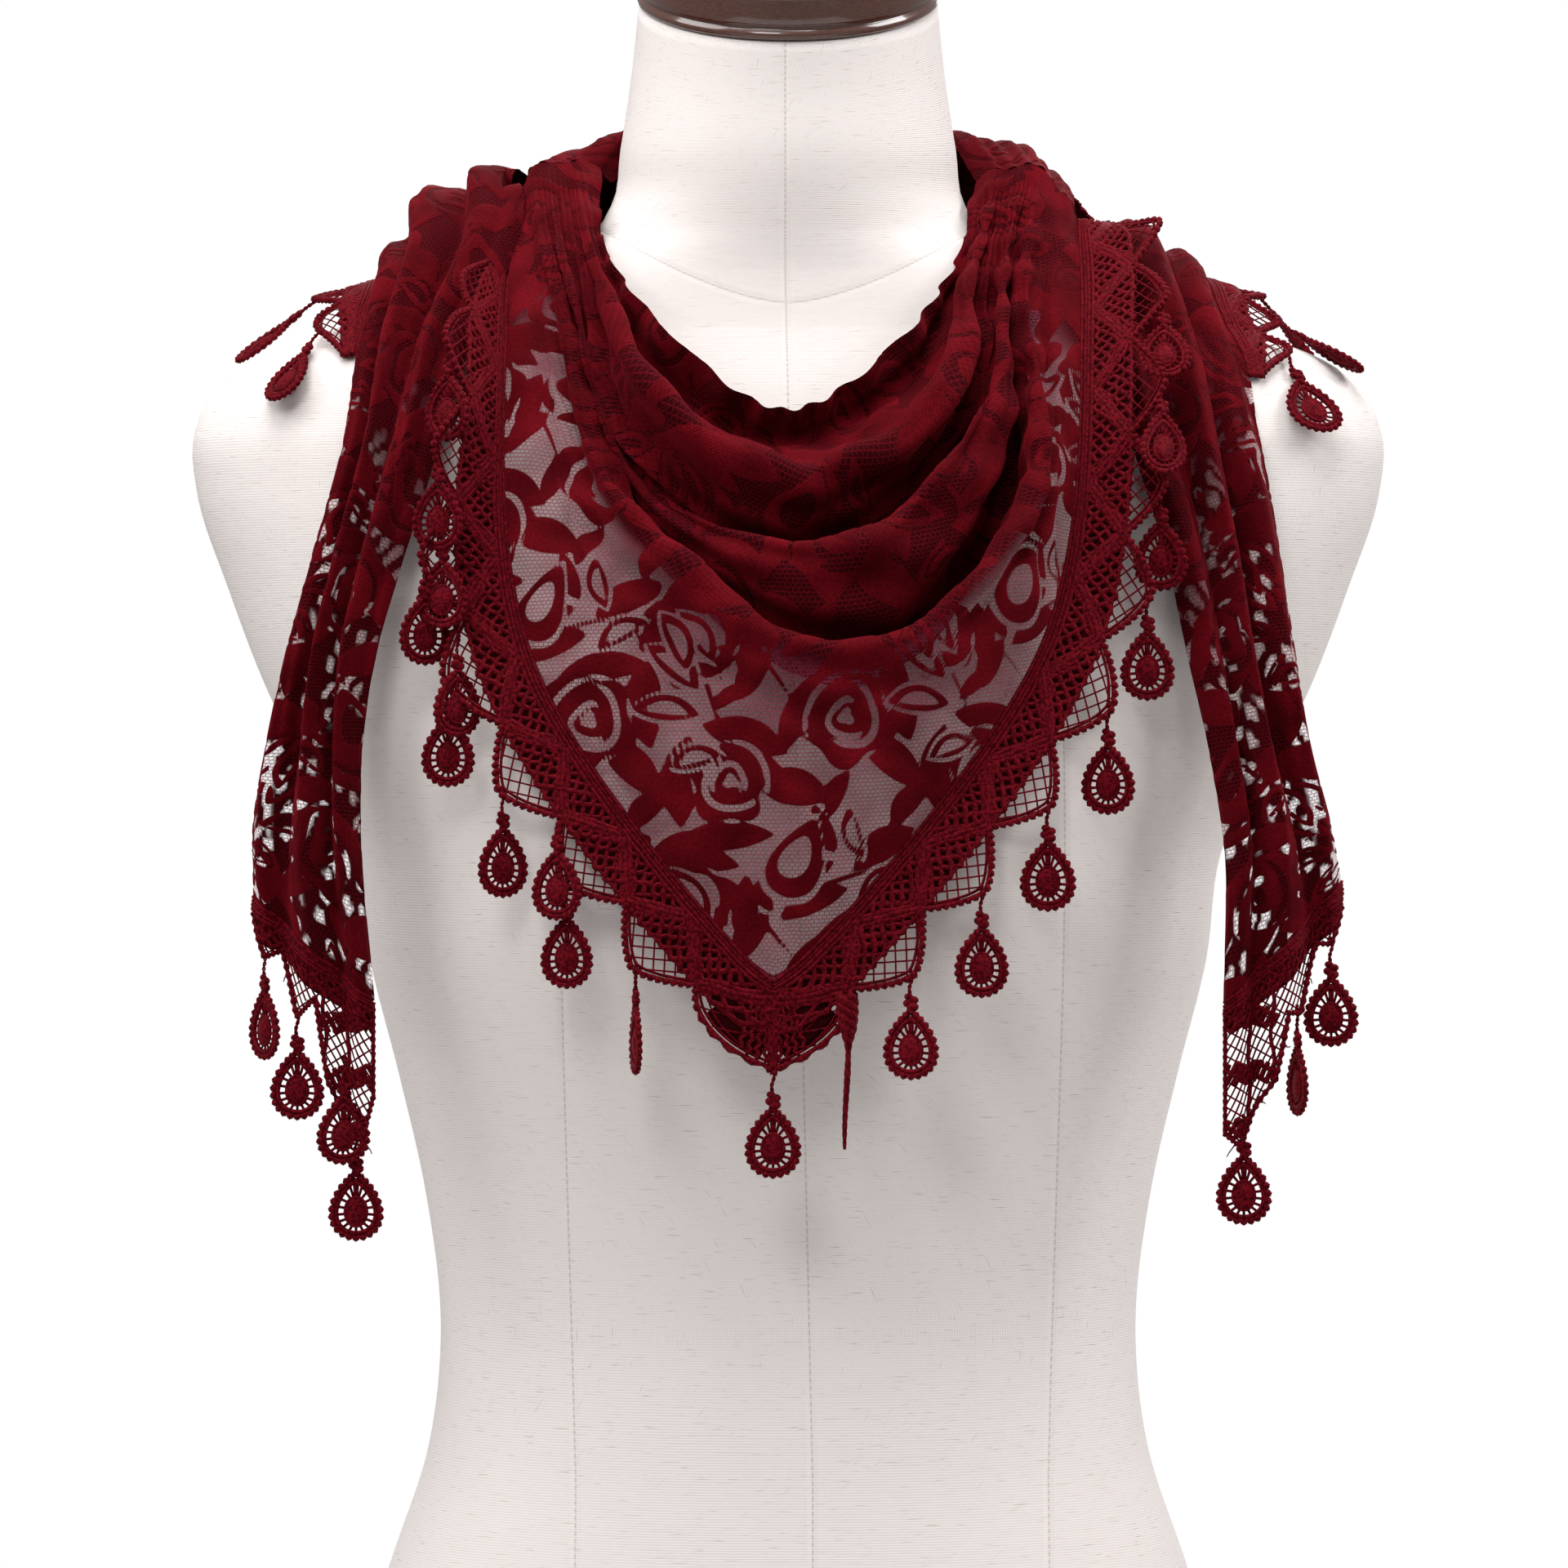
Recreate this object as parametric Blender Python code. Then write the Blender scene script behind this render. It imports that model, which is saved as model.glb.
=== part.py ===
"""Lace shawl on a limbless dress form.

Lengths in the tables are millimetres. +X is the form's left-to-right as seen from the front, the front
faces -Y, and +Z is up. The origin is the middle of the form's flat base.
"""

import math

import bpy
import numpy as np

MM = 0.001

# ---------------------------------------------------------------- driving dimensions
SEAM_GAP = 0.3
GATHER_GAP = 1.0
CLOTH_WALL = 1.0
TRIM_WALL = 1.6
FORM_CLEARANCE = 0.15
CLOTH_CLEARANCE = FORM_CLEARANCE + TRIM_WALL

NECK_TILT_START = 585.0
NECK_TOP = 655.0
NECK_TOP_SLOPE = 0.38
CAP_RADIUS = 51.5
CAP_LEVELS = (
    # height above the neck's top, share of the cap's radius
    (2.0, 1.0), (18.0, 1.0), (20.8, 0.97), (22.0, 0.9),
)

BUST_OFFSET = 78.0
BUST_HEIGHT = 368.0
BUST_RISE = 27.0
BUST_SPREAD = 52.0

BAND_WIDTH = 17.0
SCALLOP_DEPTH = 12.0
SCALLOP_STEPS = 4
SCALLOP_ROUNDNESS = 1.4
EDGING_FOLD = 0.6

EDGING_START = 0.9
HEM_SAMPLES = 200
INSIDE_STEP = 0.08
SETTLE_ROUNDS = 5
SETTLE_STEP = 6.0
SHARP_ANGLE = math.radians(50)
FRONT = (0, -1, 0)

THREAD_LENGTH = 7.0
THREAD_ROOT = 2.0
THREAD_WIDTH = 1.4
KNOB_WIDTH = 4.6
KNOB_HEIGHT = 5.0
DROP_WIDTH = 18.0
DROP_HEIGHT = 23.0
DROP_SIDE = (
    # share of its width from the middle line, share of its height down
    (0.36, 0.32), (0.5, 0.62), (0.36, 0.9),
)
DROP_WALL = 2.0
DROP_SINK = 1.6
DROP_CLEARANCE = 0.8
MOST_SWING = 80

FORM_RINGS = (
    # name, height, half_width, front, back, squareness
    ("base", 0, 158, 102, 114, 2.3),
    ("hip", 60, 152, 100, 110, 2.3),
    ("high_hip", 122, 136, 92, 97, 2.25),
    ("above_hip", 165, 122, 85, 85, 2.2),
    ("waist", 203, 118, 81, 78, 2.2),
    ("above_waist", 250, 123, 84, 79, 2.2),
    ("rib", 290, 132, 88, 84, 2.2),
    ("under_bust", 330, 142, 90, 90, 2.25),
    ("bust", 366, 147, 90, 95, 2.3),
    ("over_bust", 419, 176, 84, 97, 2.35),
    ("armpit", 455, 190, 77, 94, 2.35),
    ("shoulder_blade", 489, 201, 70, 86, 2.3),
    ("shoulder_wide", 506, 202, 66, 80, 2.3),
    ("shoulder_turn", 522, 195, 61, 73, 2.2),
    ("shoulder_round", 533, 182, 57, 68, 2.1),
    ("shoulder_end", 541, 162, 54, 65, 2.0),
    ("slope_low", 549, 138, 52, 63, 2.0),
    ("slope_high", 561, 102, 50, 61, 2.0),
    ("neck_base", 573, 70, 50, 60, 2.0),
    ("neck_low", 584, 61, 51, 58, 2.0),
    ("neck_middle", 605, 57, 52, 56, 2.0),
    ("neck_high", 632, 53, 51, 52, 2.0),
    ("neck_top", 655, 50.7, 51, 50, 2.0),
)

# The bib's lengthwise folds, from the neck edge down to the hem. Each runs from the left gather over the
# left yoke to a left point, its lowest point and a right point, and back up to the right gather. "place"
# is where it crosses the yokes and gathers, 0 at the neck side and 1 at the shoulder side, and "corner" is
# how sharply it turns at its lowest point, 0 to 1.
BIB_FOLDS = (
    # name, place, corner, left, low, right
    ("neck_edge", 0.00, 0.0, (-43, -72, 542), (0, -81, 512), (39, -72, 538)),
    ("neck_crease", 0.10, 0.0, (-47, -70, 529), (-3, -76, 501), (42, -70, 528)),
    ("roll_1_crest", 0.19, 0.0, (-51, -86, 525), (6, -98, 491), (53, -86, 519)),
    ("roll_1_under", 0.25, 0.0, (-53, -85, 507), (0, -94, 475), (55, -84, 508)),
    ("pocket_1", 0.31, 0.0, (-47, -86, 491), (13, -84, 458), (59, -78, 500)),
    ("roll_2_crest", 0.37, 0.0, (-41, -92, 482), (19, -112, 466), (63, -92, 511)),
    ("roll_2_face", 0.42, 0.0, (-42, -92, 476), (20, -112, 445), (67, -90, 494)),
    ("pocket_2", 0.47, 0.0, (-45, -87, 469), (20, -99, 424), (72, -84, 482)),
    ("roll_3_crest", 0.56, 0.0, (-51, -104, 474), (24, -121, 431), (82, -102, 484)),
    ("bib_top", 0.67, 0.15, (-61, -104, 459), (12, -123, 407), (82, -104, 468)),
    ("bib_middle", 0.78, 0.35, (-70, -105, 446), (4, -124, 376), (82, -103, 457)),
    ("bib_low", 0.89, 0.6, (-77, -104, 435), (-1, -122, 348), (82, -101, 446)),
    ("hem", 1.00, 0.85, (-82, -102, 427), (-5, -120, 325), (83, -98, 436)),
)
BIB_ALONG = 26
BIB_STEPS_PER_FOLD = 3

# Where the bib's folds fan out below the gathers: its neck side, its shoulder side, how far the middle
# stands out, and the depth of its folds.
YOKE_LEFT = ((-58, -50, 562), (-94, -50, 545), 4, 1.0)
YOKE_RIGHT = ((52, -51, 556), (98, -50, 545), 4, 2.2)
YOKE_FOLDS = 5.4
FIRST_VALLEY = 0.10

# A run of gathered cloth from one of the bib's gathers, round the back of the neck and over the opposite
# shoulder to the shawl's end. Each station gives the edge nearer the neck, the edge farther from it, how
# far each edge stands off the form (None keeps the edge where it is given), how far the middle stands out
# from the straight line between the edges, and the depth of the pleats.
RUN_UNDER = (
    # name, inner, outer, inner_off, outer_off, crown, pleat
    ("left_gather", (-64, 4, 599), (-93, -6, 578), None, None, 12, 1.2),
    ("left_side", (-58, 24, 614), (-82, 34, 590), 2, 14, 9, 1.5),
    ("back_left", (-40, 46, 616), (-58, 62, 580), 2, 4, 3, 1.5),
    ("back_middle", (6, 60, 606), (-6, 70, 564), 2, 2, 2, 1.4),
    ("back_right", (56, 55, 590), (38, 75, 546), 2, 3, 3, 1.7),
    ("right_back_shoulder", (84, 38, 576), (106, 62, 548), 5, 3, 4, 2.0),
    ("right_shoulder", (94, 10, 570), (139, 15, 562), None, None, 10, 2.2),
    ("over_right", (98, -26, 559), (146, -16, 549), None, None, 6, 1.6),
    ("front_right", (107, -50, 532), (153, -38, 523), None, None, 4, 2.0),
    ("chest_right", (115, -66, 497), (158, -54, 497), None, None, 4, 3.2),
    ("upper_right", (124, -74, 466), (163, -61, 464), None, None, 4, 3.4),
    ("middle_right", (131, -80, 432), (167, -68, 434), None, None, 5, 3.4),
    ("lower_right", (138, -83, 400), (172, -71, 402), None, None, 5, 3.4),
    ("flare_right", (143, -86, 366), (178, -74, 378), None, None, 5, 3.2),
    ("seam_right", (143, -81, 317), (182, -74, 357), None, None, 4, 2.6),
)
RUN_OVER = (
    ("right_gather", (64, 0, 594), (98, -10, 580), None, None, 12, 1.2),
    ("right_side", (57, 24, 612), (94, 26, 592), 2.5, None, 7, 1.0),
    ("back_right", (40, 50, 617), (64, 66, 584), 4, 13, 4, 1.2),
    ("back_middle", (-6, 62, 606), (6, 75, 562), 11, 11, 2, 1.4),
    ("back_left", (-56, 56, 590), (-38, 78, 545), 13, 10, 3, 1.7),
    ("left_back_shoulder", (-88, 40, 586), (-106, 62, 547), 18, 4, 4, 2.0),
    ("left_shoulder", (-96, 8, 599), (-136, 15, 561), None, None, 9, 2.2),
    ("over_left", (-98, -24, 575), (-140, -18, 554), None, None, 7, 2.2),
    ("front_left", (-111, -52, 543), (-144, -40, 532), None, None, 5, 2.4),
    ("chest_left", (-122, -74, 497), (-148, -62, 497), None, None, 5, 2.2),
    ("upper_left", (-131, -83, 462), (-157, -70, 462), None, None, 5, 2.2),
    ("middle_left", (-138, -87, 431), (-165, -74, 431), None, None, 5, 2.4),
    ("lower_left", (-140, -86, 400), (-172, -74, 401), None, None, 5, 3.0),
    ("flare_left", (-140, -84, 366), (-176, -74, 377), None, None, 5, 3.2),
    ("seam_left", (-136, -80, 318), (-176, -73, 352), None, None, 4, 2.6),
)
RUN_PLEATS = 2.5
RUN_LENGTH = 500.0
RUN_PROBE = 0.01
PLEAT_DRIFT = 0.05
SHOULDER_STATION = 6
WRAP_ALONG = 15
TAIL_ALONG = 14
RUN_ACROSS = 14

FORM_SEGMENTS = 30
FORM_EXTRA_HEIGHTS = (348, 390, 555, 567)

# Free edges that carry the crochet edging. "start" is where the edging starts along its edge, and its
# pitch is the edge's length over "scallops". "leans" are pairs of a place along the edging and how steeply
# it stands up off the form there, in degrees, "widths" of a place and the share of its full width, and
# "offs" of a place and the least distance from the form. "turns" are how far each drop has twisted from
# facing outwards, with None where a scallop has no drop, and "swings" how far it swings out, in degrees.
BIB_LEFT = {
    "start": 0.09,
    "scallops": 8.5,
    "leans": ((0, 52), (0.25, 60), (0.45, 15), (0.6, 0)),
    "widths": ((0, 0.3), (0.14, 1)),
    "offs": ((0, 2.4),),
    "turns": (None, 35, 20, -25, 15, -30, 20, 80, 5),
    "swings": (0, 12, 0, 0, 0, 0, 0, 0, 0),
}
BIB_RIGHT = {
    "start": 0.0,
    "scallops": 9.5,
    "leans": ((0, 38), (0.3, 28), (0.5, 8), (0.62, 0)),
    "widths": ((0, 0.6), (0.06, 1)),
    "offs": ((0, 2.4),),
    "turns": (None, 20, -30, 15, -10, 20, 8, -15, 78),
    "swings": (0, 36, 26, 0, 0, 0, 0, 0, 10),
}
SHOULDER_BAND = 10.0
BACK_OVER = {
    "start": 0.04,
    "end_station": 8,
    "scallops": 11,
    "leans": ((0, 20), (0.3, 10), (0.4, 0)),
    "widths": ((0, 1), (0.93, 1), (1, 0.3)),
    "offs": ((0, 17), (0.3, 17), (0.45, 2.4)),
    "turns": (10, None, 15, -10, 25, -15, 20, -20, 10, -25, 15),
    "swings": (0, 0, 0, 0, 0, 0, 0, 0, 0, 0, 0),
}
BACK_UNDER = {
    "start": 0.36,
    "end_station": 8,
    "scallops": 6,
    "leans": ((0, 0),),
    "widths": ((0, 0.3), (0.1, 1), (0.88, 1), (1, 0.3)),
    "offs": ((0, 2.4),),
    "turns": (None, 25, -10, 15, -30, 20),
    "swings": (0, 0, 0, 0, 0, 0),
}

# The edging below each tail's slanting seam, which ends in a narrow hanging strip: how far it hangs at
# each place across the seam, 0 at the outer side.
TAIL_END_LEFT = (
    # place, depth
    (0.00, 5), (0.12, 15), (0.24, 9), (0.40, 25), (0.56, 13), (0.64, 38), (0.82, 50), (0.93, 47), (1.00, 30),
)
TAIL_END_RIGHT = (
    (0.00, 8), (0.12, 15), (0.22, 11), (0.38, 27), (0.50, 22), (0.60, 40), (0.74, 44), (0.90, 50), (1.00, 42),
)
TAIL_DROPS_LEFT = (
    # place across the seam, share of the edging's depth, turn, swing
    (0.12, 1.0, 55, 0), (0.40, 1.0, 10, 0), (0.76, 0.62, -20, 14), (0.88, 1.0, 5, 0),
)
TAIL_DROPS_RIGHT = ((0.12, 1.0, 15, 0), (0.42, 1.0, 75, 0), (0.86, 0.9, 10, 0))

LINEN = ("linen", (0.80, 0.76, 0.72), 0.9, 0.0)
LACQUER = ("lacquered_wood", (0.045, 0.018, 0.012), 0.25, 0.0)
LACE = ("lace", (0.26, 0.012, 0.02), 0.85, 0.0)
EDGING = ("crochet_edging", (0.14, 0.008, 0.014), 0.85, 0.0)


# ---------------------------------------------------------------- curves
def through(knots, values, where, corner=None):
    """A smooth curve through values at knots, read at where. A corner is (knot index, sharpness 0 to 1)."""
    knots = np.asarray(knots, float)
    values = np.asarray(values, float)
    where = np.atleast_1d(np.asarray(where, float))
    column = (-1,) + (1,) * (values.ndim - 1)
    step = np.diff(knots)
    rise = np.diff(values, axis=0) / step.reshape(column)
    slope = np.empty_like(values)
    slope[0], slope[-1] = rise[0], rise[-1]
    share = (step[:-1] / (step[:-1] + step[1:])).reshape(column)
    slope[1:-1] = rise[:-1] * (1 - share) + rise[1:] * share
    if corner:
        slope[corner[0]] *= 1 - corner[1]
    index = np.clip(np.searchsorted(knots, where, side="right") - 1, 0, len(step) - 1)
    span = step[index].reshape(column)
    t = (where - knots[index]).reshape(column) / span
    start = (2 * t**3 - 3 * t**2 + 1) * values[index] + (t**3 - 2 * t**2 + t) * span * slope[index]
    end = (3 * t**2 - 2 * t**3) * values[index + 1] + (t**3 - t**2) * span * slope[index + 1]
    return start + end


def path_knots(points):
    """Distances along a row of points, from 0 to 1."""
    steps = np.linalg.norm(np.diff(points, axis=0), axis=1)
    return np.concatenate([[0], np.cumsum(steps)]) / steps.sum()


def even_places(points, count):
    """count points evenly along a dense row of points."""
    return np.stack(
        [np.interp(np.linspace(0, 1, count), path_knots(points), axis) for axis in points.T], axis=1
    )


def unit(vectors):
    return vectors / np.maximum(np.linalg.norm(vectors, axis=-1, keepdims=True), 1e-9)


# ---------------------------------------------------------------- dress form surface
FORM_HEIGHTS = [row[1] for row in FORM_RINGS]
FORM_SIZES = [row[2:] for row in FORM_RINGS]


def form_sizes(height):
    """Half width, front depth, back depth and squareness of the form's ring at each height."""
    return through(FORM_HEIGHTS, FORM_SIZES, np.clip(height, 0, NECK_TOP)).T


def neck_slope(height):
    """The rings of the neck lean, lower at the front, more and more towards its top."""
    return NECK_TOP_SLOPE * np.clip((height - NECK_TILT_START) / (NECK_TOP - NECK_TILT_START), 0, 1)


def bust_rise(x, height):
    spread = (np.abs(x) - BUST_OFFSET) ** 2 + (height - BUST_HEIGHT) ** 2
    return BUST_RISE * np.exp(-spread / (2 * BUST_SPREAD**2))


def form_ring(height, segments):
    """Points of the form's surface round one ring."""
    angle = np.linspace(0, 2 * math.pi, segments, endpoint=False)
    half_width, front, back, squareness = (size[0] for size in form_sizes([height]))
    power = 2 / squareness
    x = half_width * np.sign(np.cos(angle)) * np.abs(np.cos(angle)) ** power
    depth = np.where(np.sin(angle) < 0, front + bust_rise(x, height), back)
    y = depth * np.sign(np.sin(angle)) * np.abs(np.sin(angle)) ** power
    return np.stack([x, y, height + neck_slope(height) * y], axis=1)


def form_excess(points):
    """Below 0 inside the form, 0 on its surface and above 0 outside."""
    x, y, z = points[..., 0], points[..., 1], points[..., 2]
    height = z
    for _ in range(3):
        height = z - neck_slope(height) * y
    half_width, front, back, squareness = (
        size.reshape(x.shape) for size in form_sizes(height.reshape(-1))
    )
    depth = np.where(y < 0, front + bust_rise(x, height), back)
    across = np.abs(x / half_width) ** squareness + np.abs(y / depth) ** squareness
    return np.maximum(across, 1e-9) ** (1 / squareness) - 1


def form_distance(points):
    """Distance to the form's surface, and the direction straight out of it."""
    probe = 0.5
    here = form_excess(points)
    rise = np.stack(
        [(form_excess(points + probe * axis) - here) / probe for axis in np.eye(3)], axis=-1
    )
    return here / np.maximum(np.linalg.norm(rise, axis=-1), 1e-6), unit(rise)


def settle(points, clearance):
    """Moves points that lie too near the form straight out of it."""
    for _ in range(SETTLE_ROUNDS):
        distance, outward = form_distance(points)
        points = points + outward * np.clip(clearance - distance, 0, SETTLE_STEP)[..., None]
    return points


# ---------------------------------------------------------------- gathered runs
def stood_off(points, distances):
    """Points moved straight off the form until they are as far from it as distances say, where they do."""
    for _ in range(SETTLE_ROUNDS):
        now, outward = form_distance(points)
        wanted = [near if far is None else far for near, far in zip(now, distances)]
        points = points + outward * (np.array(wanted) - now)[:, None]
    return points


def run_edges(stations):
    """Knots, inner edge and outer edge of a run."""
    inner = stood_off(np.array([row[1] for row in stations], float), [row[3] for row in stations])
    outer = stood_off(np.array([row[2] for row in stations], float), [row[4] for row in stations])
    return path_knots((inner + outer) / 2), inner, outer


def crown_shape(across):
    """0 at both edges and 1 in the middle."""
    return 4 * across * (1 - across)


def run_points(stations, along, across):
    """A grid of points on a run: along its length by across its width, both from 0 to 1."""
    knots, inner, outer = run_edges(stations)
    along = np.atleast_1d(along)
    across = np.asarray(across, float)
    near = np.clip(np.concatenate([along - RUN_PROBE, along + RUN_PROBE]), 0, 1)
    middles = through(knots, (inner + outer) / 2, near)
    direction = unit(middles[len(along) :] - middles[: len(along)])
    start, end = through(knots, inner, along), through(knots, outer, along)
    crown, pleat = through(knots, [row[5:] for row in stations], along).T
    outward = unit(np.cross(direction, end - start))
    _, clear_way = form_distance((start + end) / 2)
    outward *= np.sign((outward * clear_way).sum())
    drift = PLEAT_DRIFT * np.sin(2 * math.pi * (across + 2 * along[:, None]))
    wave = np.sin(2 * math.pi * RUN_PLEATS * (across + drift * crown_shape(across)))
    rise = crown[:, None] * crown_shape(across) + pleat[:, None] * wave
    flat = start[:, None] + (end - start)[:, None] * across[None, :, None]
    return flat + outward[:, None] * rise[..., None]


def shoulder_place(stations):
    """How far along a run its shoulder station is."""
    return run_edges(stations)[0][SHOULDER_STATION]


# ---------------------------------------------------------------- bib
def yoke_point(yoke, place):
    """Where a fold of the bib crosses a yoke."""
    inner, outer = np.array(yoke[0], float), np.array(yoke[1], float)
    point = inner + (outer - inner) * place
    _, outward = form_distance(point[None])
    wave = -math.cos(2 * math.pi * YOKE_FOLDS * (place - FIRST_VALLEY))
    return point + outward[0] * (yoke[2] * crown_shape(place) + yoke[3] * wave)


def bib_row(fold, half):
    """One lengthwise fold of the bib, with half its points on each side of its lowest point."""
    _, place, corner, left, low, right = fold
    start = run_points(RUN_UNDER, 0.0, [place])[0, 0]
    end = run_points(RUN_OVER, 0.0, [place])[0, 0]
    left_yoke, right_yoke = yoke_point(YOKE_LEFT, place), yoke_point(YOKE_RIGHT, place)
    points = np.array([start, left_yoke, left, low, right, right_yoke, end], float)
    knots = path_knots(points)
    sides = []
    for first, last in ((0, knots[3]), (knots[3], 1)):
        dense = through(knots, points, np.linspace(first, last, 200), corner=(3, corner))
        sides.append(even_places(dense, half + 1))
    return np.concatenate([sides[0], sides[1][1:]])


def bib_points(along_count, steps_per_fold):
    """The bib's middle surface: rows from neck edge to hem, columns from left gather to right gather."""
    rows = np.array([bib_row(fold, along_count // 2) for fold in BIB_FOLDS])
    where = np.linspace(0, len(rows) - 1, (len(rows) - 1) * steps_per_fold + 1)
    return settle(through(np.arange(len(rows)), rows, where), CLOTH_CLEARANCE)


# ---------------------------------------------------------------- meshes
def material(finish):
    name, colour, roughness, metallic = finish
    made = bpy.data.materials.get(name) or bpy.data.materials.new(name)
    made.use_nodes = True
    shader = made.node_tree.nodes["Principled BSDF"]
    shader.inputs["Base Color"].default_value = (*colour, 1)
    shader.inputs["Roughness"].default_value = roughness
    shader.inputs["Metallic"].default_value = metallic
    return made


def add_object(name, points, faces, finish):
    mesh = bpy.data.meshes.new(name)
    mesh.from_pydata([tuple(point) for point in np.asarray(points) * MM], [], faces)
    mesh.validate()
    mesh.shade_smooth()
    mesh.set_sharp_from_angle(angle=SHARP_ANGLE)
    mesh.materials.append(material(finish))
    made = bpy.data.objects.new(name, mesh)
    bpy.context.scene.collection.objects.link(made)
    return made


def grid_normals(grid):
    """Unit normals of a grid of points, all on the side that faces away from the form."""
    normals = unit(np.cross(np.gradient(grid, axis=0), np.gradient(grid, axis=1)))
    _, outward = form_distance(grid)
    return normals * np.sign((normals * outward).sum())


def wall_shape(grid, wall):
    """Points and faces of a closed wall of even thickness about a grid of points."""
    rows, columns = grid.shape[:2]
    normals = grid_normals(grid)
    outer = (grid + normals * wall / 2).reshape(-1, 3)
    inner = (grid - normals * wall / 2).reshape(-1, 3)
    count = rows * columns
    faces = []
    for row in range(rows - 1):
        for column in range(columns - 1):
            first = row * columns + column
            faces.append((first, first + 1, first + columns + 1, first + columns))
    last_row = (rows - 1) * columns
    rim = list(range(columns))
    rim += [row * columns + columns - 1 for row in range(1, rows)]
    rim += [last_row + column for column in range(columns - 2, -1, -1)]
    rim += [row * columns for row in range(rows - 2, 0, -1)]
    # Both sides of the wall split each quad along the same diagonal, or a twisted quad would cross itself.
    solid = faces + [tuple(count + face[corner] for corner in (0, 3, 2, 1)) for face in faces]
    for near, far in zip(rim, rim[1:] + rim[:1]):
        solid.append((far, near, count + near, count + far))
    first_normal = np.cross(
        outer[faces[0][1]] - outer[faces[0][0]], outer[faces[0][3]] - outer[faces[0][0]]
    )
    if (first_normal * normals[0, 0]).sum() < 0:
        solid = [tuple(reversed(face)) for face in solid]
    return np.concatenate([outer, inner]), solid


def stacked_rings(rings):
    """Points and faces of a closed solid through rings of equal size, flat at both ends."""
    segments = len(rings[0])
    faces = [tuple(range(segments - 1, -1, -1))]
    for level in range(len(rings) - 1):
        for segment in range(segments):
            near = level * segments + segment
            far = level * segments + (segment + 1) % segments
            faces.append((near, far, far + segments, near + segments))
    faces.append(tuple((len(rings) - 1) * segments + segment for segment in range(segments)))
    return np.concatenate(rings), faces


# ---------------------------------------------------------------- drops and edging
def drop_outline():
    """A drop's outline, as places across and heights below its root."""
    knob_end = THREAD_LENGTH + KNOB_HEIGHT
    side = [
        (THREAD_WIDTH / 2, -THREAD_WIDTH / 2),
        (THREAD_WIDTH / 2, THREAD_LENGTH),
        (KNOB_WIDTH / 2, THREAD_LENGTH + KNOB_HEIGHT / 2),
        (THREAD_WIDTH, knob_end),
    ]
    side += [(DROP_WIDTH * across, knob_end + DROP_HEIGHT * down) for across, down in DROP_SIDE]
    tip = [(0, knob_end + DROP_HEIGHT)]
    return np.array(side + tip + [(-half, down) for half, down in reversed(side)])


def drop_shape(root, turn, facing, swing, off):
    """A flat drop hung from root. It swings out the way it faces until all of it is off clear of the form."""
    outline = drop_outline()
    facing = unit(np.array([facing[0], facing[1], 0]))
    angle = math.radians(turn)
    across = np.array([-facing[1], facing[0], 0])
    wide = across * math.cos(angle) + facing * math.sin(angle)
    thick = np.cross(wide, (0, 0, 1)) * DROP_WALL / 2
    hang = outline[:, 1:]
    for lean in np.radians(np.arange(swing, MOST_SWING, 2)):
        down = np.array([0, 0, -math.cos(lean)]) + facing * math.sin(lean)
        middle = root + wide * outline[:, :1] + down * hang
        both = np.concatenate([middle - thick, middle + thick])
        if form_distance(both)[0].min() > max(off, DROP_CLEARANCE):
            break
    count = len(outline)
    front = tuple(range(count))
    back = tuple(count + corner for corner in reversed(range(count)))
    sides = [(far, near, count + near, count + far) for near, far in zip(front, front[1:] + front[:1])]
    return both, [front, back, *sides]


def merged(shapes):
    """Several sets of points and faces as one set."""
    points, faces, start = [], [], 0
    for shape_points, shape_faces in shapes:
        faces += [tuple(start + corner for corner in face) for face in shape_faces]
        points.append(shape_points)
        start += len(shape_points)
    return np.concatenate(points), faces


def add_edging(name, grid, drops):
    """A wall of edging with its drops fused on. Drops are (root, turn, facing, swing, off)."""
    edging = add_object(name, *wall_shape(grid, TRIM_WALL), EDGING)
    hung = add_object(name + "_drops", *merged([drop_shape(*drop) for drop in drops]), EDGING)
    hung.hide_render = True
    hung.display_type = "WIRE"
    join = edging.modifiers.new("drops", "BOOLEAN")
    join.operation = "UNION"
    join.object = hung
    return edging


def scallop(place):
    """Depth of a pointed scallop, 0 at its notches and 1 at its tip."""
    return 1 - abs(2 * place - 1) ** SCALLOP_ROUNDNESS


def along_table(table, places):
    """A table of pairs of place and value, read at places."""
    return np.interp(places, *zip(*table))


def edging_grid(edge, inside, plan, band, end_down=False):
    """Rows of points across a scalloped edging sewn to an edge. inside is the next row of the cloth."""
    count = int(plan["scallops"] * SCALLOP_STEPS) + 1
    hem, inside = even_places(edge, count), even_places(inside, count)
    _, outward = form_distance(hem)
    away = unit(np.cross(np.gradient(hem, axis=0), outward))
    away *= np.sign((away * (hem - inside)).sum(axis=1, keepdims=True))
    if end_down:
        away[-1] = (0, 0, -1)
    place = np.linspace(0, 1, count)
    lean = np.radians(along_table(plan["leans"], place))[:, None]
    away = away * np.cos(lean) + outward * np.sin(lean)
    onward = unit(hem - inside)
    bend = np.linalg.norm(np.cross(onward, away), axis=1, keepdims=True)
    hem = hem + away * (SEAM_GAP + bend * CLOTH_WALL)
    share = np.array([scallop(step % SCALLOP_STEPS / SCALLOP_STEPS) for step in range(count)])
    full = along_table(plan["widths"], place)
    widths = [np.zeros(count), full * band * EDGING_FOLD, full * (band + share * SCALLOP_DEPTH)]
    grid = np.array([hem + away * width[:, None] for width in widths])
    least = np.maximum(along_table(plan["offs"], place), CLOTH_CLEARANCE)
    rise = np.array([0, EDGING_FOLD, 1])[:, None]
    return settle(grid, CLOTH_CLEARANCE + rise * (least - CLOTH_CLEARANCE))


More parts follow.
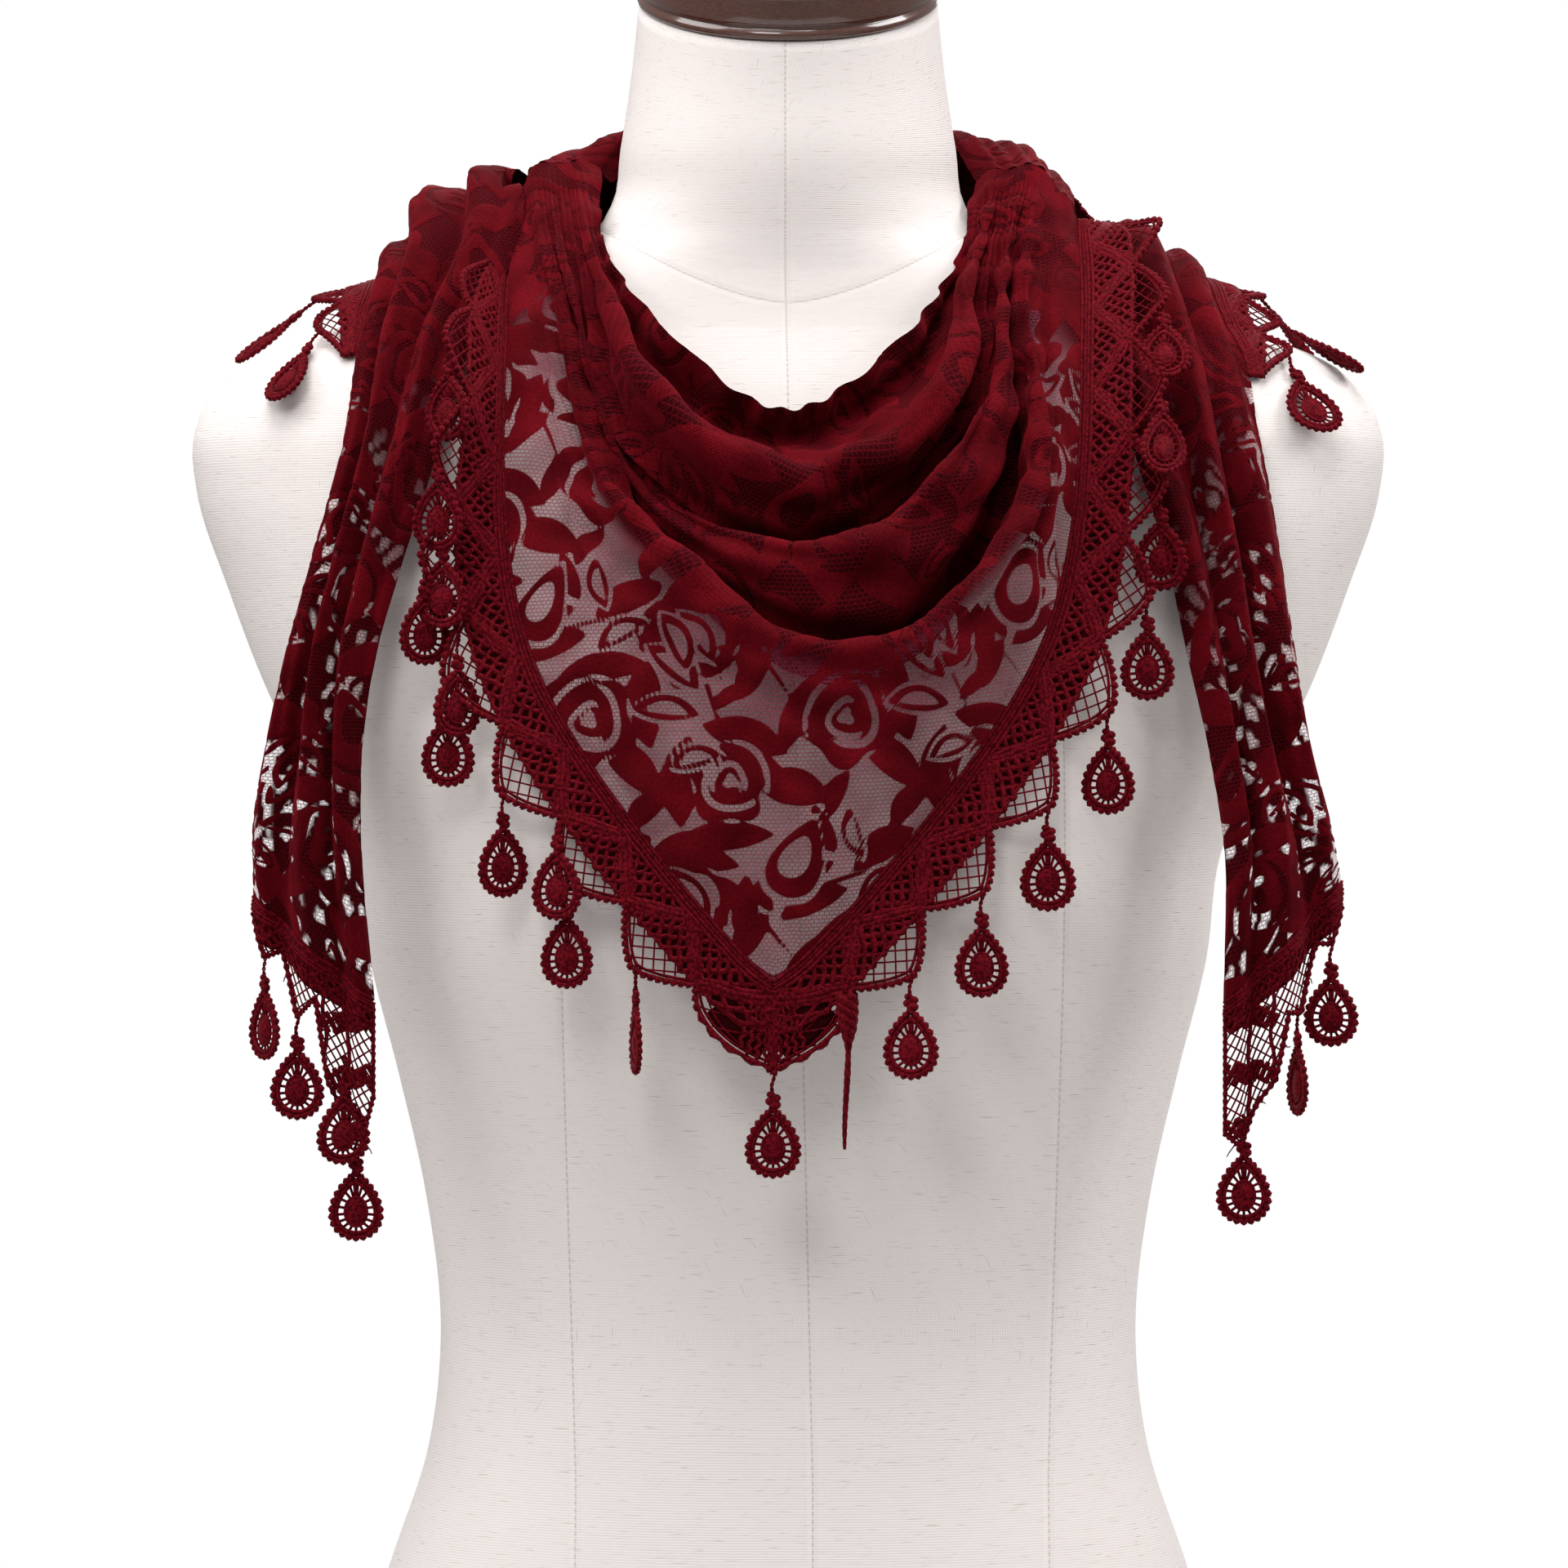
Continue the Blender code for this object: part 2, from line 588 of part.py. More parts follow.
def scallop_drops(grid, plan, facing=None):
    """A drop at the tip of each scallop, its thread rooted a little way inside the edging."""
    roots = grid[-1] + unit(grid[-2] - grid[-1]) * THREAD_ROOT
    away_from_form, outward = form_distance(roots)
    drops = []
    for index, (turn, swing) in enumerate(zip(plan["turns"], plan["swings"])):
        tip = min(SCALLOP_STEPS // 2 + SCALLOP_STEPS * index, len(roots) - 2)
        off = min(away_from_form[tip], along_table(plan["offs"], tip / len(roots))) - DROP_SINK
        if turn is not None:
            drops.append((roots[tip], turn, outward[tip] if facing is None else facing, swing, off))
    return drops


# ---------------------------------------------------------------- the pieces
def build_form():
    heights = sorted(FORM_HEIGHTS + list(FORM_EXTRA_HEIGHTS))
    torso = [form_ring(height, FORM_SEGMENTS) for height in heights]
    add_object("form_torso", *stacked_rings(torso), LINEN)
    top = form_ring(NECK_TOP, FORM_SEGMENTS)
    middle = top.mean(axis=0)
    lift = unit(np.array([0, -NECK_TOP_SLOPE, 1]))
    widest = CAP_RADIUS / np.abs(top[:, 0]).max()
    levels = [(SEAM_GAP, 1.0)] + [(rise, widest * share) for rise, share in CAP_LEVELS]
    cap = [middle + (top - middle) * size + lift * rise for rise, size in levels]
    add_object("form_neck_cap", *stacked_rings(cap), LACQUER)


def build_cloth():
    bib = bib_points(BIB_ALONG, BIB_STEPS_PER_FOLD)
    bib[:, 0] += unit(bib[:, 1] - bib[:, 0]) * GATHER_GAP
    bib[:, -1] += unit(bib[:, -2] - bib[:, -1]) * GATHER_GAP
    add_object("shawl_bib", *wall_shape(bib, CLOTH_WALL), LACE)
    gap = SEAM_GAP / RUN_LENGTH
    for under, stations in ((True, RUN_UNDER), (False, RUN_OVER)):
        shoulder = shoulder_place(stations)
        wrap = np.linspace(0, shoulder - gap, WRAP_ALONG)
        tail = np.linspace(shoulder + gap, 1, TAIL_ALONG)
        names = ("shawl_wrap_under", "shawl_tail_right") if under else ("shawl_wrap_over", "shawl_tail_left")
        for name, along in zip(names, (wrap, tail)):
            grid = run_points(stations, along, np.linspace(0, 1, RUN_ACROSS))
            grid = settle(grid, CLOTH_CLEARANCE)
            add_object(name, *wall_shape(grid, CLOTH_WALL), LACE)


def bib_hem(left, start):
    """The bib's hem from near one gather to its lowest point, and the row of cloth just inside it."""
    rows = bib_points(HEM_SAMPLES, BIB_STEPS_PER_FOLD)
    low = HEM_SAMPLES // 2
    first = int(start * low)
    return [row[first:low] if left else row[::-1][first:low] for row in (rows[-1], rows[-2])]


def run_edge(stations, first, last):
    """The outer edge of a run between two places along it, and the row of cloth just inside it."""
    grid = run_points(stations, np.linspace(first, last, HEM_SAMPLES), [1, 1 - INSIDE_STEP])
    return settle(grid[:, 0], CLOTH_CLEARANCE), grid[:, 1]


def tail_end_grid(stations, depths):
    """The edging below a tail's slanting seam, from its outer side to its inner side."""
    places = np.array([place for place, _ in depths])
    seam = run_points(stations, 1.0, 1 - places)[0]
    hang = np.array([depth for _, depth in depths], float)[:, None]
    down = np.array([0, 0, -1.0])
    return np.array([seam + down * (EDGING_START + (hang - EDGING_START) * share) for share in (0, 0.5, 1)])


def tail_end_drops(grid, depths, hung):
    """Drops at named places on a tail's end."""
    places = [place for place, _ in depths]
    drops = []
    for place, share, turn, swing in hung:
        top, bottom = (
            np.array([np.interp(place, places, axis) for axis in row.T]) for row in (grid[0], grid[-1])
        )
        root = top + (bottom - top) * share + np.array([0, 0, THREAD_ROOT])
        drops.append((root, turn, FRONT, swing, DROP_CLEARANCE))
    return drops


def build_edging():
    for name, left, plan in (("trim_bib_left", True, BIB_LEFT), ("trim_bib_right", False, BIB_RIGHT)):
        grid = edging_grid(*bib_hem(left, plan["start"]), plan, BAND_WIDTH, end_down=True)
        add_edging(name, grid, scallop_drops(grid, plan, FRONT))
    for name, stations, plan in (
        ("trim_back_over", RUN_OVER, BACK_OVER),
        ("trim_back_under", RUN_UNDER, BACK_UNDER),
    ):
        last = run_edges(stations)[0][plan["end_station"]]
        grid = edging_grid(*run_edge(stations, plan["start"], last), plan, SHOULDER_BAND)
        add_edging(name, grid, scallop_drops(grid, plan))
    for name, stations, depths, hung in (
        ("trim_tail_left", RUN_OVER, TAIL_END_LEFT, TAIL_DROPS_LEFT),
        ("trim_tail_right", RUN_UNDER, TAIL_END_RIGHT, TAIL_DROPS_RIGHT),
    ):
        grid = tail_end_grid(stations, depths)
        add_edging(name, grid, tail_end_drops(grid, depths, hung))


for leftover in list(bpy.data.objects):
    bpy.data.objects.remove(leftover)
build_form()
build_cloth()
build_edging()
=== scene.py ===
"""Lace shawl on a limbless dress form: the cloth, its crochet edging, the linen form and the studio.

Lengths are millimetres until a mesh is made. +X is the form's left-to-right as seen from the front, the
front faces -Y, +Z is up, and the origin is the middle of the form's flat base. Each piece follows the same
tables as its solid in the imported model, at a finer step.
"""

from __future__ import annotations

import logging
import math
from collections.abc import Callable, Mapping, Sequence
from dataclasses import dataclass, field
from enum import Enum

import bpy
import numpy as np
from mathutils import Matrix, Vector

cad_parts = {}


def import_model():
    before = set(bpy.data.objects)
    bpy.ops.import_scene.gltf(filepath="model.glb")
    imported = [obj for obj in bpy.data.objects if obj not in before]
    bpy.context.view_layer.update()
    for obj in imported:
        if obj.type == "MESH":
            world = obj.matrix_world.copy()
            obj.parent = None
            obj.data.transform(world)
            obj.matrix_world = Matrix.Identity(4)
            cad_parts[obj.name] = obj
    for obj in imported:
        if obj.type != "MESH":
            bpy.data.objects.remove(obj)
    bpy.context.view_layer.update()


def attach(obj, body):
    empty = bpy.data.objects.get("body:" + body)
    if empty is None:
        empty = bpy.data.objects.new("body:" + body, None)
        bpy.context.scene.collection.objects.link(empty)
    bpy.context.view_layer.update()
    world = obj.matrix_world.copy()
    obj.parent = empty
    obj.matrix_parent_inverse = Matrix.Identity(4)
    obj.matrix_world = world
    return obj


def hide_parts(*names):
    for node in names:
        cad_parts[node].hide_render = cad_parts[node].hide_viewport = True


log = logging.getLogger("shawl")

Array = np.ndarray
Piece = bpy.types.Object
Tree = bpy.types.NodeTree
Socket = bpy.types.NodeSocket
Settings = Mapping[str | int, Socket | float | Sequence[float]]

MM = 0.001
FLAT_MAP = "flat_mm"
ROOT_BODY = "root"

SEAM_GAP = 0.3
CLOTH_CLEARANCE = 1.75
FRONT = (0.0, -1.0, 0.0)

FORM_RINGS = (
    # height, half_width, front, back, squareness
    (0, 158, 102, 114, 2.3),
    (60, 152, 100, 110, 2.3),
    (122, 136, 92, 97, 2.25),
    (165, 122, 85, 85, 2.2),
    (203, 118, 81, 78, 2.2),
    (250, 123, 84, 79, 2.2),
    (290, 132, 88, 84, 2.2),
    (330, 142, 90, 90, 2.25),
    (366, 147, 90, 95, 2.3),
    (419, 176, 84, 97, 2.35),
    (455, 190, 77, 94, 2.35),
    (489, 201, 70, 86, 2.3),
    (506, 202, 66, 80, 2.3),
    (522, 195, 61, 73, 2.2),
    (533, 182, 57, 68, 2.1),
    (541, 162, 54, 65, 2.0),
    (549, 138, 52, 63, 2.0),
    (561, 102, 50, 61, 2.0),
    (573, 70, 50, 60, 2.0),
    (584, 61, 51, 58, 2.0),
    (605, 57, 52, 56, 2.0),
    (632, 53, 51, 52, 2.0),
    (655, 50.7, 51, 50, 2.0),
)

# The bib's lengthwise folds from the neck edge to the hem: where each crosses the yokes and gathers, how
# sharply it turns at its lowest point, and its left, lowest and right points.
BIB_FOLDS = (
    (0.00, 0.0, (-43, -72, 542), (0, -81, 512), (39, -72, 538)),
    (0.10, 0.0, (-47, -70, 529), (-3, -76, 501), (42, -70, 528)),
    (0.19, 0.0, (-51, -86, 525), (6, -98, 491), (53, -86, 519)),
    (0.25, 0.0, (-53, -85, 507), (0, -94, 475), (55, -84, 508)),
    (0.31, 0.0, (-47, -86, 491), (13, -84, 458), (59, -78, 500)),
    (0.37, 0.0, (-41, -92, 482), (19, -112, 466), (63, -92, 511)),
    (0.42, 0.0, (-42, -92, 476), (20, -112, 445), (67, -90, 494)),
    (0.47, 0.0, (-45, -87, 469), (20, -99, 424), (72, -84, 482)),
    (0.56, 0.0, (-51, -104, 474), (24, -121, 431), (82, -102, 484)),
    (0.67, 0.15, (-61, -104, 459), (12, -123, 407), (82, -104, 468)),
    (0.78, 0.35, (-70, -105, 446), (4, -124, 376), (82, -103, 457)),
    (0.89, 0.6, (-77, -104, 435), (-1, -122, 348), (82, -101, 446)),
    (1.00, 0.85, (-82, -102, 427), (-5, -120, 325), (83, -98, 436)),
)
YOKE_LEFT = ((-58, -50, 562), (-94, -50, 545), 4, 1.0)
YOKE_RIGHT = ((52, -51, 556), (98, -50, 545), 4, 2.2)

# Gathered cloth from a gather on the bib, round the back of the neck and over the other shoulder: the
# neck-side edge, the far edge, how far each stands off the form, the crown between them and the pleats.
RUN_UNDER = (
    ((-64, 4, 599), (-93, -6, 578), None, None, 12, 1.2),
    ((-58, 24, 614), (-82, 34, 590), 2, 14, 9, 1.5),
    ((-40, 46, 616), (-58, 62, 580), 2, 4, 3, 1.5),
    ((6, 60, 606), (-6, 70, 564), 2, 2, 2, 1.4),
    ((56, 55, 590), (38, 75, 546), 2, 3, 3, 1.7),
    ((84, 38, 576), (106, 62, 548), 5, 3, 4, 2.0),
    ((94, 10, 570), (139, 15, 562), None, None, 10, 2.2),
    ((98, -26, 559), (146, -16, 549), None, None, 6, 1.6),
    ((107, -50, 532), (153, -38, 523), None, None, 4, 2.0),
    ((115, -66, 497), (158, -54, 497), None, None, 4, 3.2),
    ((124, -74, 466), (163, -61, 464), None, None, 4, 3.4),
    ((131, -80, 432), (167, -68, 434), None, None, 5, 3.4),
    ((138, -83, 400), (172, -71, 402), None, None, 5, 3.4),
    ((143, -86, 366), (178, -74, 378), None, None, 5, 3.2),
    ((143, -81, 317), (182, -74, 357), None, None, 4, 2.6),
)
RUN_OVER = (
    ((64, 0, 594), (98, -10, 580), None, None, 12, 1.2),
    ((57, 24, 612), (94, 26, 592), 2.5, None, 7, 1.0),
    ((40, 50, 617), (64, 66, 584), 4, 13, 4, 1.2),
    ((-6, 62, 606), (6, 75, 562), 11, 11, 2, 1.4),
    ((-56, 56, 590), (-38, 78, 545), 13, 10, 3, 1.7),
    ((-88, 40, 586), (-106, 62, 547), 18, 4, 4, 2.0),
    ((-96, 8, 599), (-136, 15, 561), None, None, 9, 2.2),
    ((-98, -24, 575), (-140, -18, 554), None, None, 7, 2.2),
    ((-111, -52, 543), (-144, -40, 532), None, None, 5, 2.4),
    ((-122, -74, 497), (-148, -62, 497), None, None, 5, 2.2),
    ((-131, -83, 462), (-157, -70, 462), None, None, 5, 2.2),
    ((-138, -87, 431), (-165, -74, 431), None, None, 5, 2.4),
    ((-140, -86, 400), (-172, -74, 401), None, None, 5, 3.0),
    ((-140, -84, 366), (-176, -74, 377), None, None, 5, 3.2),
    ((-136, -80, 318), (-176, -73, 352), None, None, 4, 2.6),
)

# How far the edging hangs below each tail's slanting seam, from its outer side to its inner side.
TAIL_END_LEFT = (
    (0.00, 5), (0.12, 15), (0.24, 9), (0.40, 25), (0.56, 13), (0.64, 38), (0.82, 50), (0.93, 47), (1.00, 30),
)
TAIL_END_RIGHT = (
    (0.00, 8), (0.12, 15), (0.22, 11), (0.38, 27), (0.50, 22), (0.60, 40), (0.74, 44), (0.90, 50), (1.00, 42),
)
TAIL_DROPS_LEFT = ((0.12, 1.0, 55, 0), (0.40, 1.0, 10, 0), (0.76, 0.62, -20, 14), (0.88, 1.0, 5, 0))
TAIL_DROPS_RIGHT = ((0.12, 1.0, 15, 0), (0.42, 1.0, 75, 0), (0.86, 0.9, 10, 0))


# ---- curves
def unit(vectors: Array) -> Array:
    """Returns the vectors at length 1."""
    return vectors / np.maximum(np.linalg.norm(vectors, axis=-1, keepdims=True), 1e-9)


def through(
    knots: Sequence[float], values: Sequence, where: Sequence[float], corner: tuple[int, float] | None = None
) -> Array:
    """Reads a smooth curve through values at knots.

    Args:
        knots: Places of the values, in rising order.
        values: One value or point for each knot.
        where: Places to read.
        corner: A knot's number and how sharply the curve turns there, 0 to 1.

    Returns:
        One value or point for each place.
    """
    knots = np.asarray(knots, float)
    values = np.asarray(values, float)
    where = np.atleast_1d(np.asarray(where, float))
    column = (-1,) + (1,) * (values.ndim - 1)
    step = np.diff(knots)
    rise = np.diff(values, axis=0) / step.reshape(column)
    slope = np.empty_like(values)
    slope[0], slope[-1] = rise[0], rise[-1]
    share = (step[:-1] / (step[:-1] + step[1:])).reshape(column)
    slope[1:-1] = rise[:-1] * (1 - share) + rise[1:] * share
    if corner:
        slope[corner[0]] *= 1 - corner[1]
    index = np.clip(np.searchsorted(knots, where, side="right") - 1, 0, len(step) - 1)
    span = step[index].reshape(column)
    t = (where - knots[index]).reshape(column) / span
    start = (2 * t**3 - 3 * t**2 + 1) * values[index] + (t**3 - 2 * t**2 + t) * span * slope[index]
    end = (3 * t**2 - 2 * t**3) * values[index + 1] + (t**3 - t**2) * span * slope[index + 1]
    return start + end


def travelled(points: Array) -> Array:
    """Returns the distance along a row of points to each of them."""
    return np.concatenate([[0], np.cumsum(np.linalg.norm(np.diff(points, axis=0), axis=1))])


def path_knots(points: Array) -> Array:
    """Returns the distance along a row of points to each of them, from 0 to 1."""
    return travelled(points) / travelled(points)[-1]


def even_places(points: Array, count: int) -> Array:
    """Returns count points evenly along a dense row of points."""
    places = np.linspace(0, 1, count)
    return np.stack([np.interp(places, path_knots(points), axis) for axis in points.T], axis=1)


def along_table(table: Sequence[tuple[float, float]], places: Array | float) -> Array:
    """Returns a table of pairs of place and value, read at places."""
    return np.interp(places, *zip(*table))


def crown_shape(across: Array | float) -> Array | float:
    """Returns 0 at both edges and 1 in the middle."""
    return 4 * across * (1 - across)


def smooth_step(low: float, high: float, values: Array) -> Array:
    """Returns 0 below low, 1 above high and a smooth rise between them."""
    share = np.clip((values - low) / (high - low), 0, 1)
    return share * share * (3 - 2 * share)


def grid_normals(grid: Array) -> Array:
    """Returns the unit normals of a grid of points."""
    return unit(np.cross(np.gradient(grid, axis=0), np.gradient(grid, axis=1)))


# ---- surfaces
@dataclass(frozen=True)
class FormShape:
    """The dress form's surface: squarish oval rings up the body, two rises for the bust and a leaning neck."""

    rings: tuple = FORM_RINGS
    neck_tilt_start: float = 585.0
    neck_top: float = 655.0
    neck_top_slope: float = 0.38
    bust_offset: float = 78.0
    bust_height: float = 368.0
    bust_rise: float = 27.0
    bust_spread: float = 52.0
    lean_rounds: int = 3
    probe: float = 0.5
    settle_rounds: int = 5
    settle_step: float = 6.0

    def sizes(self, height: Array) -> Array:
        """Returns half width, front depth, back depth and squareness at each height."""
        heights = [ring[0] for ring in self.rings]
        return through(heights, [ring[1:] for ring in self.rings], np.clip(height, 0, self.neck_top)).T

    def slope(self, height: Array) -> Array:
        """Returns how much the rings of the neck lean, lower at the front."""
        share = (height - self.neck_tilt_start) / (self.neck_top - self.neck_tilt_start)
        return self.neck_top_slope * np.clip(share, 0, 1)

    def bust(self, x: Array, height: Array) -> Array:
        """Returns how far the bust stands out."""
        spread = (np.abs(x) - self.bust_offset) ** 2 + (height - self.bust_height) ** 2
        return self.bust_rise * np.exp(-spread / (2 * self.bust_spread**2))

    def ring(self, height: float, segments: int) -> Array:
        """Reads one ring of the surface.

        Args:
            height: Its height at the form's middle line.
            segments: How many points it has.

        Returns:
            Its points.
        """
        angle = np.linspace(0, 2 * math.pi, segments, endpoint=False)
        half_width, front, back, squareness = (size[0] for size in self.sizes(np.array([height])))
        power = 2 / squareness
        x = half_width * np.sign(np.cos(angle)) * np.abs(np.cos(angle)) ** power
        depth = np.where(np.sin(angle) < 0, front + self.bust(x, height), back)
        y = depth * np.sign(np.sin(angle)) * np.abs(np.sin(angle)) ** power
        return np.stack([x, y, height + self.slope(height) * y], axis=1)

    def excess(self, points: Array) -> Array:
        """Tells the inside of the form from the outside.

        Args:
            points: Any points.

        Returns:
            A value below 0 inside the form, 0 on its surface and above 0 outside, for each point.
        """
        x, y, z = points[..., 0], points[..., 1], points[..., 2]
        height = z
        for _ in range(self.lean_rounds):
            height = z - self.slope(height) * y
        half_width, front, back, squareness = (
            size.reshape(x.shape) for size in self.sizes(height.reshape(-1))
        )
        depth = np.where(y < 0, front + self.bust(x, height), back)
        across = np.abs(x / half_width) ** squareness + np.abs(y / depth) ** squareness
        return np.maximum(across, 1e-9) ** (1 / squareness) - 1

    def distance(self, points: Array) -> tuple[Array, Array]:
        """Measures from the form.

        Args:
            points: Any points.

        Returns:
            Each point's distance from the surface, and the direction straight out of it.
        """
        here = self.excess(points)
        ahead = [self.excess(points + self.probe * axis) for axis in np.eye(3)]
        rise = np.stack([(value - here) / self.probe for value in ahead], axis=-1)
        return here / np.maximum(np.linalg.norm(rise, axis=-1), 1e-6), unit(rise)

    def settle(self, points: Array, clearance: Array | float) -> Array:
        """Moves points that are too near the form straight out of it.

        Args:
            points: Any points.
            clearance: Their least distance from the form.

        Returns:
            The points.
        """
        for _ in range(self.settle_rounds):
            distance, outward = self.distance(points)
            points = points + outward * np.clip(clearance - distance, 0, self.settle_step)[..., None]
        return points

    def cloth_normals(self, grid: Array) -> Array:
        """Finds which way is out of a grid of cloth that hangs on the form.

        Args:
            grid: Rows of points.

        Returns:
            The cloth's unit normals, on the side away from the form.
        """
        normals = grid_normals(grid)
        _, outward = self.distance(grid)
        return normals * np.sign((normals * outward).sum())

    def stood_off(self, points: Array, distances: Sequence[float | None]) -> Array:
        """Moves points straight off the form.

        Args:
            points: A row of points.
            distances: Each point's distance from the form, or None where it stays.

        Returns:
            The points.
        """
        for _ in range(self.settle_rounds):
            now, outward = self.distance(points)
            wanted = [near if far is None else far for near, far in zip(now, distances)]
            points = points + outward * (np.array(wanted) - now)[:, None]
        return points


@dataclass
class GatheredRun:
    """A run of gathered cloth from one of the bib's gathers, over the opposite shoulder, to the shawl's end."""

    form: FormShape
    stations: tuple
    pleats: float = 2.5
    pleat_drift: float = 0.05
    fine_pleats: float = 7.3
    fine_depth: float = 0.0
    # Narrow valleys between rounded folds, from the shoulder down to the shawl's end.
    valley_count: float = 3.0
    valley_depth: float = 0.0
    valley_turn: float = 0.4
    # Level that the folds rise and fall from, how far before the shoulder they begin, and where they fade.
    valley_middle: float = 0.56
    valley_lead: float = 0.14
    valley_end: float = 0.9
    probe: float = 0.01
    shoulder_station: int = 6
    knots: Array = field(init=False)
    inner: Array = field(init=False)
    outer: Array = field(init=False)

    def __post_init__(self) -> None:
        """Stands the edges off the form."""
        inner, outer = (np.array([row[side] for row in self.stations], float) for side in (0, 1))
        self.inner = self.form.stood_off(inner, [row[2] for row in self.stations])
        self.outer = self.form.stood_off(outer, [row[3] for row in self.stations])
        self.knots = path_knots((self.inner + self.outer) / 2)

    @property
    def shoulder(self) -> float:
        """How far along the run its shoulder is."""
        return float(self.knots[self.shoulder_station])

    def points(self, along: Array | float, across: Array, fine: bool = False) -> Array:
        """Reads a grid of points on the run.

        Args:
            along: Places along its length, from 0 to 1.
            across: Places across its width, from 0 at the neck side to 1.
            fine: Whether the small pleats between the large ones are drawn too.

        Returns:
            Points, with a row for each place along.
        """
        along = np.atleast_1d(along)
        across = np.asarray(across, float)
        near = np.clip(np.concatenate([along - self.probe, along + self.probe]), 0, 1)
        middles = through(self.knots, (self.inner + self.outer) / 2, near)
        direction = unit(middles[len(along) :] - middles[: len(along)])
        start, end = through(self.knots, self.inner, along), through(self.knots, self.outer, along)
        crown, pleat = through(self.knots, [row[4:] for row in self.stations], along).T
        outward = unit(np.cross(direction, end - start))
        _, clear_way = self.form.distance((start + end) / 2)
        outward *= np.sign((outward * clear_way).sum())
        drift = self.pleat_drift * np.sin(2 * math.pi * (across + 2 * along[:, None]))
        wave = np.sin(2 * math.pi * self.pleats * (across + drift * crown_shape(across)))
        rise = crown[:, None] * crown_shape(across) + pleat[:, None] * wave
        if fine:
            turn = self.fine_pleats * (across + 0.03 * np.sin(9 * along[:, None] + 2 * across))
            small = np.sin(2 * math.pi * turn + 5 * along[:, None]) * (0.6 + 0.4 * np.sin(31 * along[:, None]))
            middle = np.sqrt(np.clip(crown_shape(across), 0, 1))
            turn = across + drift * crown_shape(across) + 0.035 * np.sin(5 * along[:, None] + 1)
            rounded = np.abs(np.sin(math.pi * self.valley_count * turn + self.valley_turn)) ** 0.5
            reach = smooth_step(self.shoulder - self.valley_lead, self.shoulder, along)
            reach = reach * (1 - smooth_step(self.valley_end, 1.0, along))
            valleys = self.valley_depth * (rounded - self.valley_middle) * reach[:, None]
            rise = rise + (self.fine_depth * small + valleys) * middle
        flat = start[:, None] + (end - start)[:, None] * across[None, :, None]
        return flat + outward[:, None] * rise[..., None]

    def outer_edge(self, first: float, last: float, count: int) -> tuple[Array, Array]:
        """Returns the outer edge between two places, and the row of cloth just inside it."""
        grid = self.points(np.linspace(first, last, count), np.array([1, 0.92]))
        return self.form.settle(grid[:, 0], CLOTH_CLEARANCE), grid[:, 1]


@dataclass
class BibShape:
    """The cowl folds and the pointed bib between the two gathers."""

    form: FormShape
    under: GatheredRun
    over: GatheredRun
    folds: tuple = BIB_FOLDS
    yoke_folds: float = 5.4
    first_valley: float = 0.10
    dense_points: int = 600

    def yoke_point(self, yoke: tuple, place: float) -> Array:
        """Finds where a fold of the bib crosses a yoke.

        Args:
            yoke: The yoke's two ends, its crown and the depth of its folds.
            place: The fold's place, from 0 at the neck edge to 1 at the hem.

        Returns:
            The point.
        """
        inner, outer = np.array(yoke[0], float), np.array(yoke[1], float)
        point = inner + (outer - inner) * place
        _, outward = self.form.distance(point[None])
        wave = -math.cos(2 * math.pi * self.yoke_folds * (place - self.first_valley))
        return point + outward[0] * (yoke[2] * crown_shape(place) + yoke[3] * wave)

    def row(self, fold: tuple, half: int) -> Array:
        """Lays out one lengthwise fold.

        Args:
            fold: Its row of the table of folds.
            half: How many steps it has on each side of its lowest point.

        Returns:
            Its points, from the left gather to the right gather.
        """
        place, corner, left, low, right = fold
        start = self.under.points(0.0, np.array([place]))[0, 0]
        end = self.over.points(0.0, np.array([place]))[0, 0]
        yokes = self.yoke_point(YOKE_LEFT, place), self.yoke_point(YOKE_RIGHT, place)
        points = np.array([start, yokes[0], left, low, right, yokes[1], end], float)
        knots = path_knots(points)
        sides = []
        for first, last in ((0, knots[3]), (knots[3], 1)):
            dense = through(knots, points, np.linspace(first, last, self.dense_points), corner=(3, corner))
            sides.append(even_places(dense, half + 1))
        return np.concatenate([sides[0], sides[1][1:]])

    def points(self, columns: int, where: Array) -> Array:
        """Reads the bib's surface.

        Args:
            columns: How many steps each row has.
            where: Each row's place among the folds, from 0 at the neck edge to the hem.

        Returns:
            Rows of points, each from the left gather to the right gather.
        """
        rows = np.array([self.row(fold, columns // 2) for fold in self.folds])
        return self.form.settle(through(np.arange(len(rows)), rows, where), CLOTH_CLEARANCE)

    def hem(self, left: bool, start: float, count: int = 400) -> tuple[Array, Array]:
        """Reads half of the hem, from near its gather to its lowest point.

        Args:
            left: Whether it is the left half.
            start: Where it starts, as a share of its length.
            count: How many steps the whole hem has.

        Returns:
            The hem, and the row of cloth just inside it.
        """
        last = len(self.folds) - 1
        rows = self.points(count, np.array([last - 1 / 3, last]))
        low = count // 2
        first = int(start * low)
        edge, inside = ((row[first:low] if left else row[::-1][first:low]) for row in (rows[-1], rows[-2]))
        return edge, inside


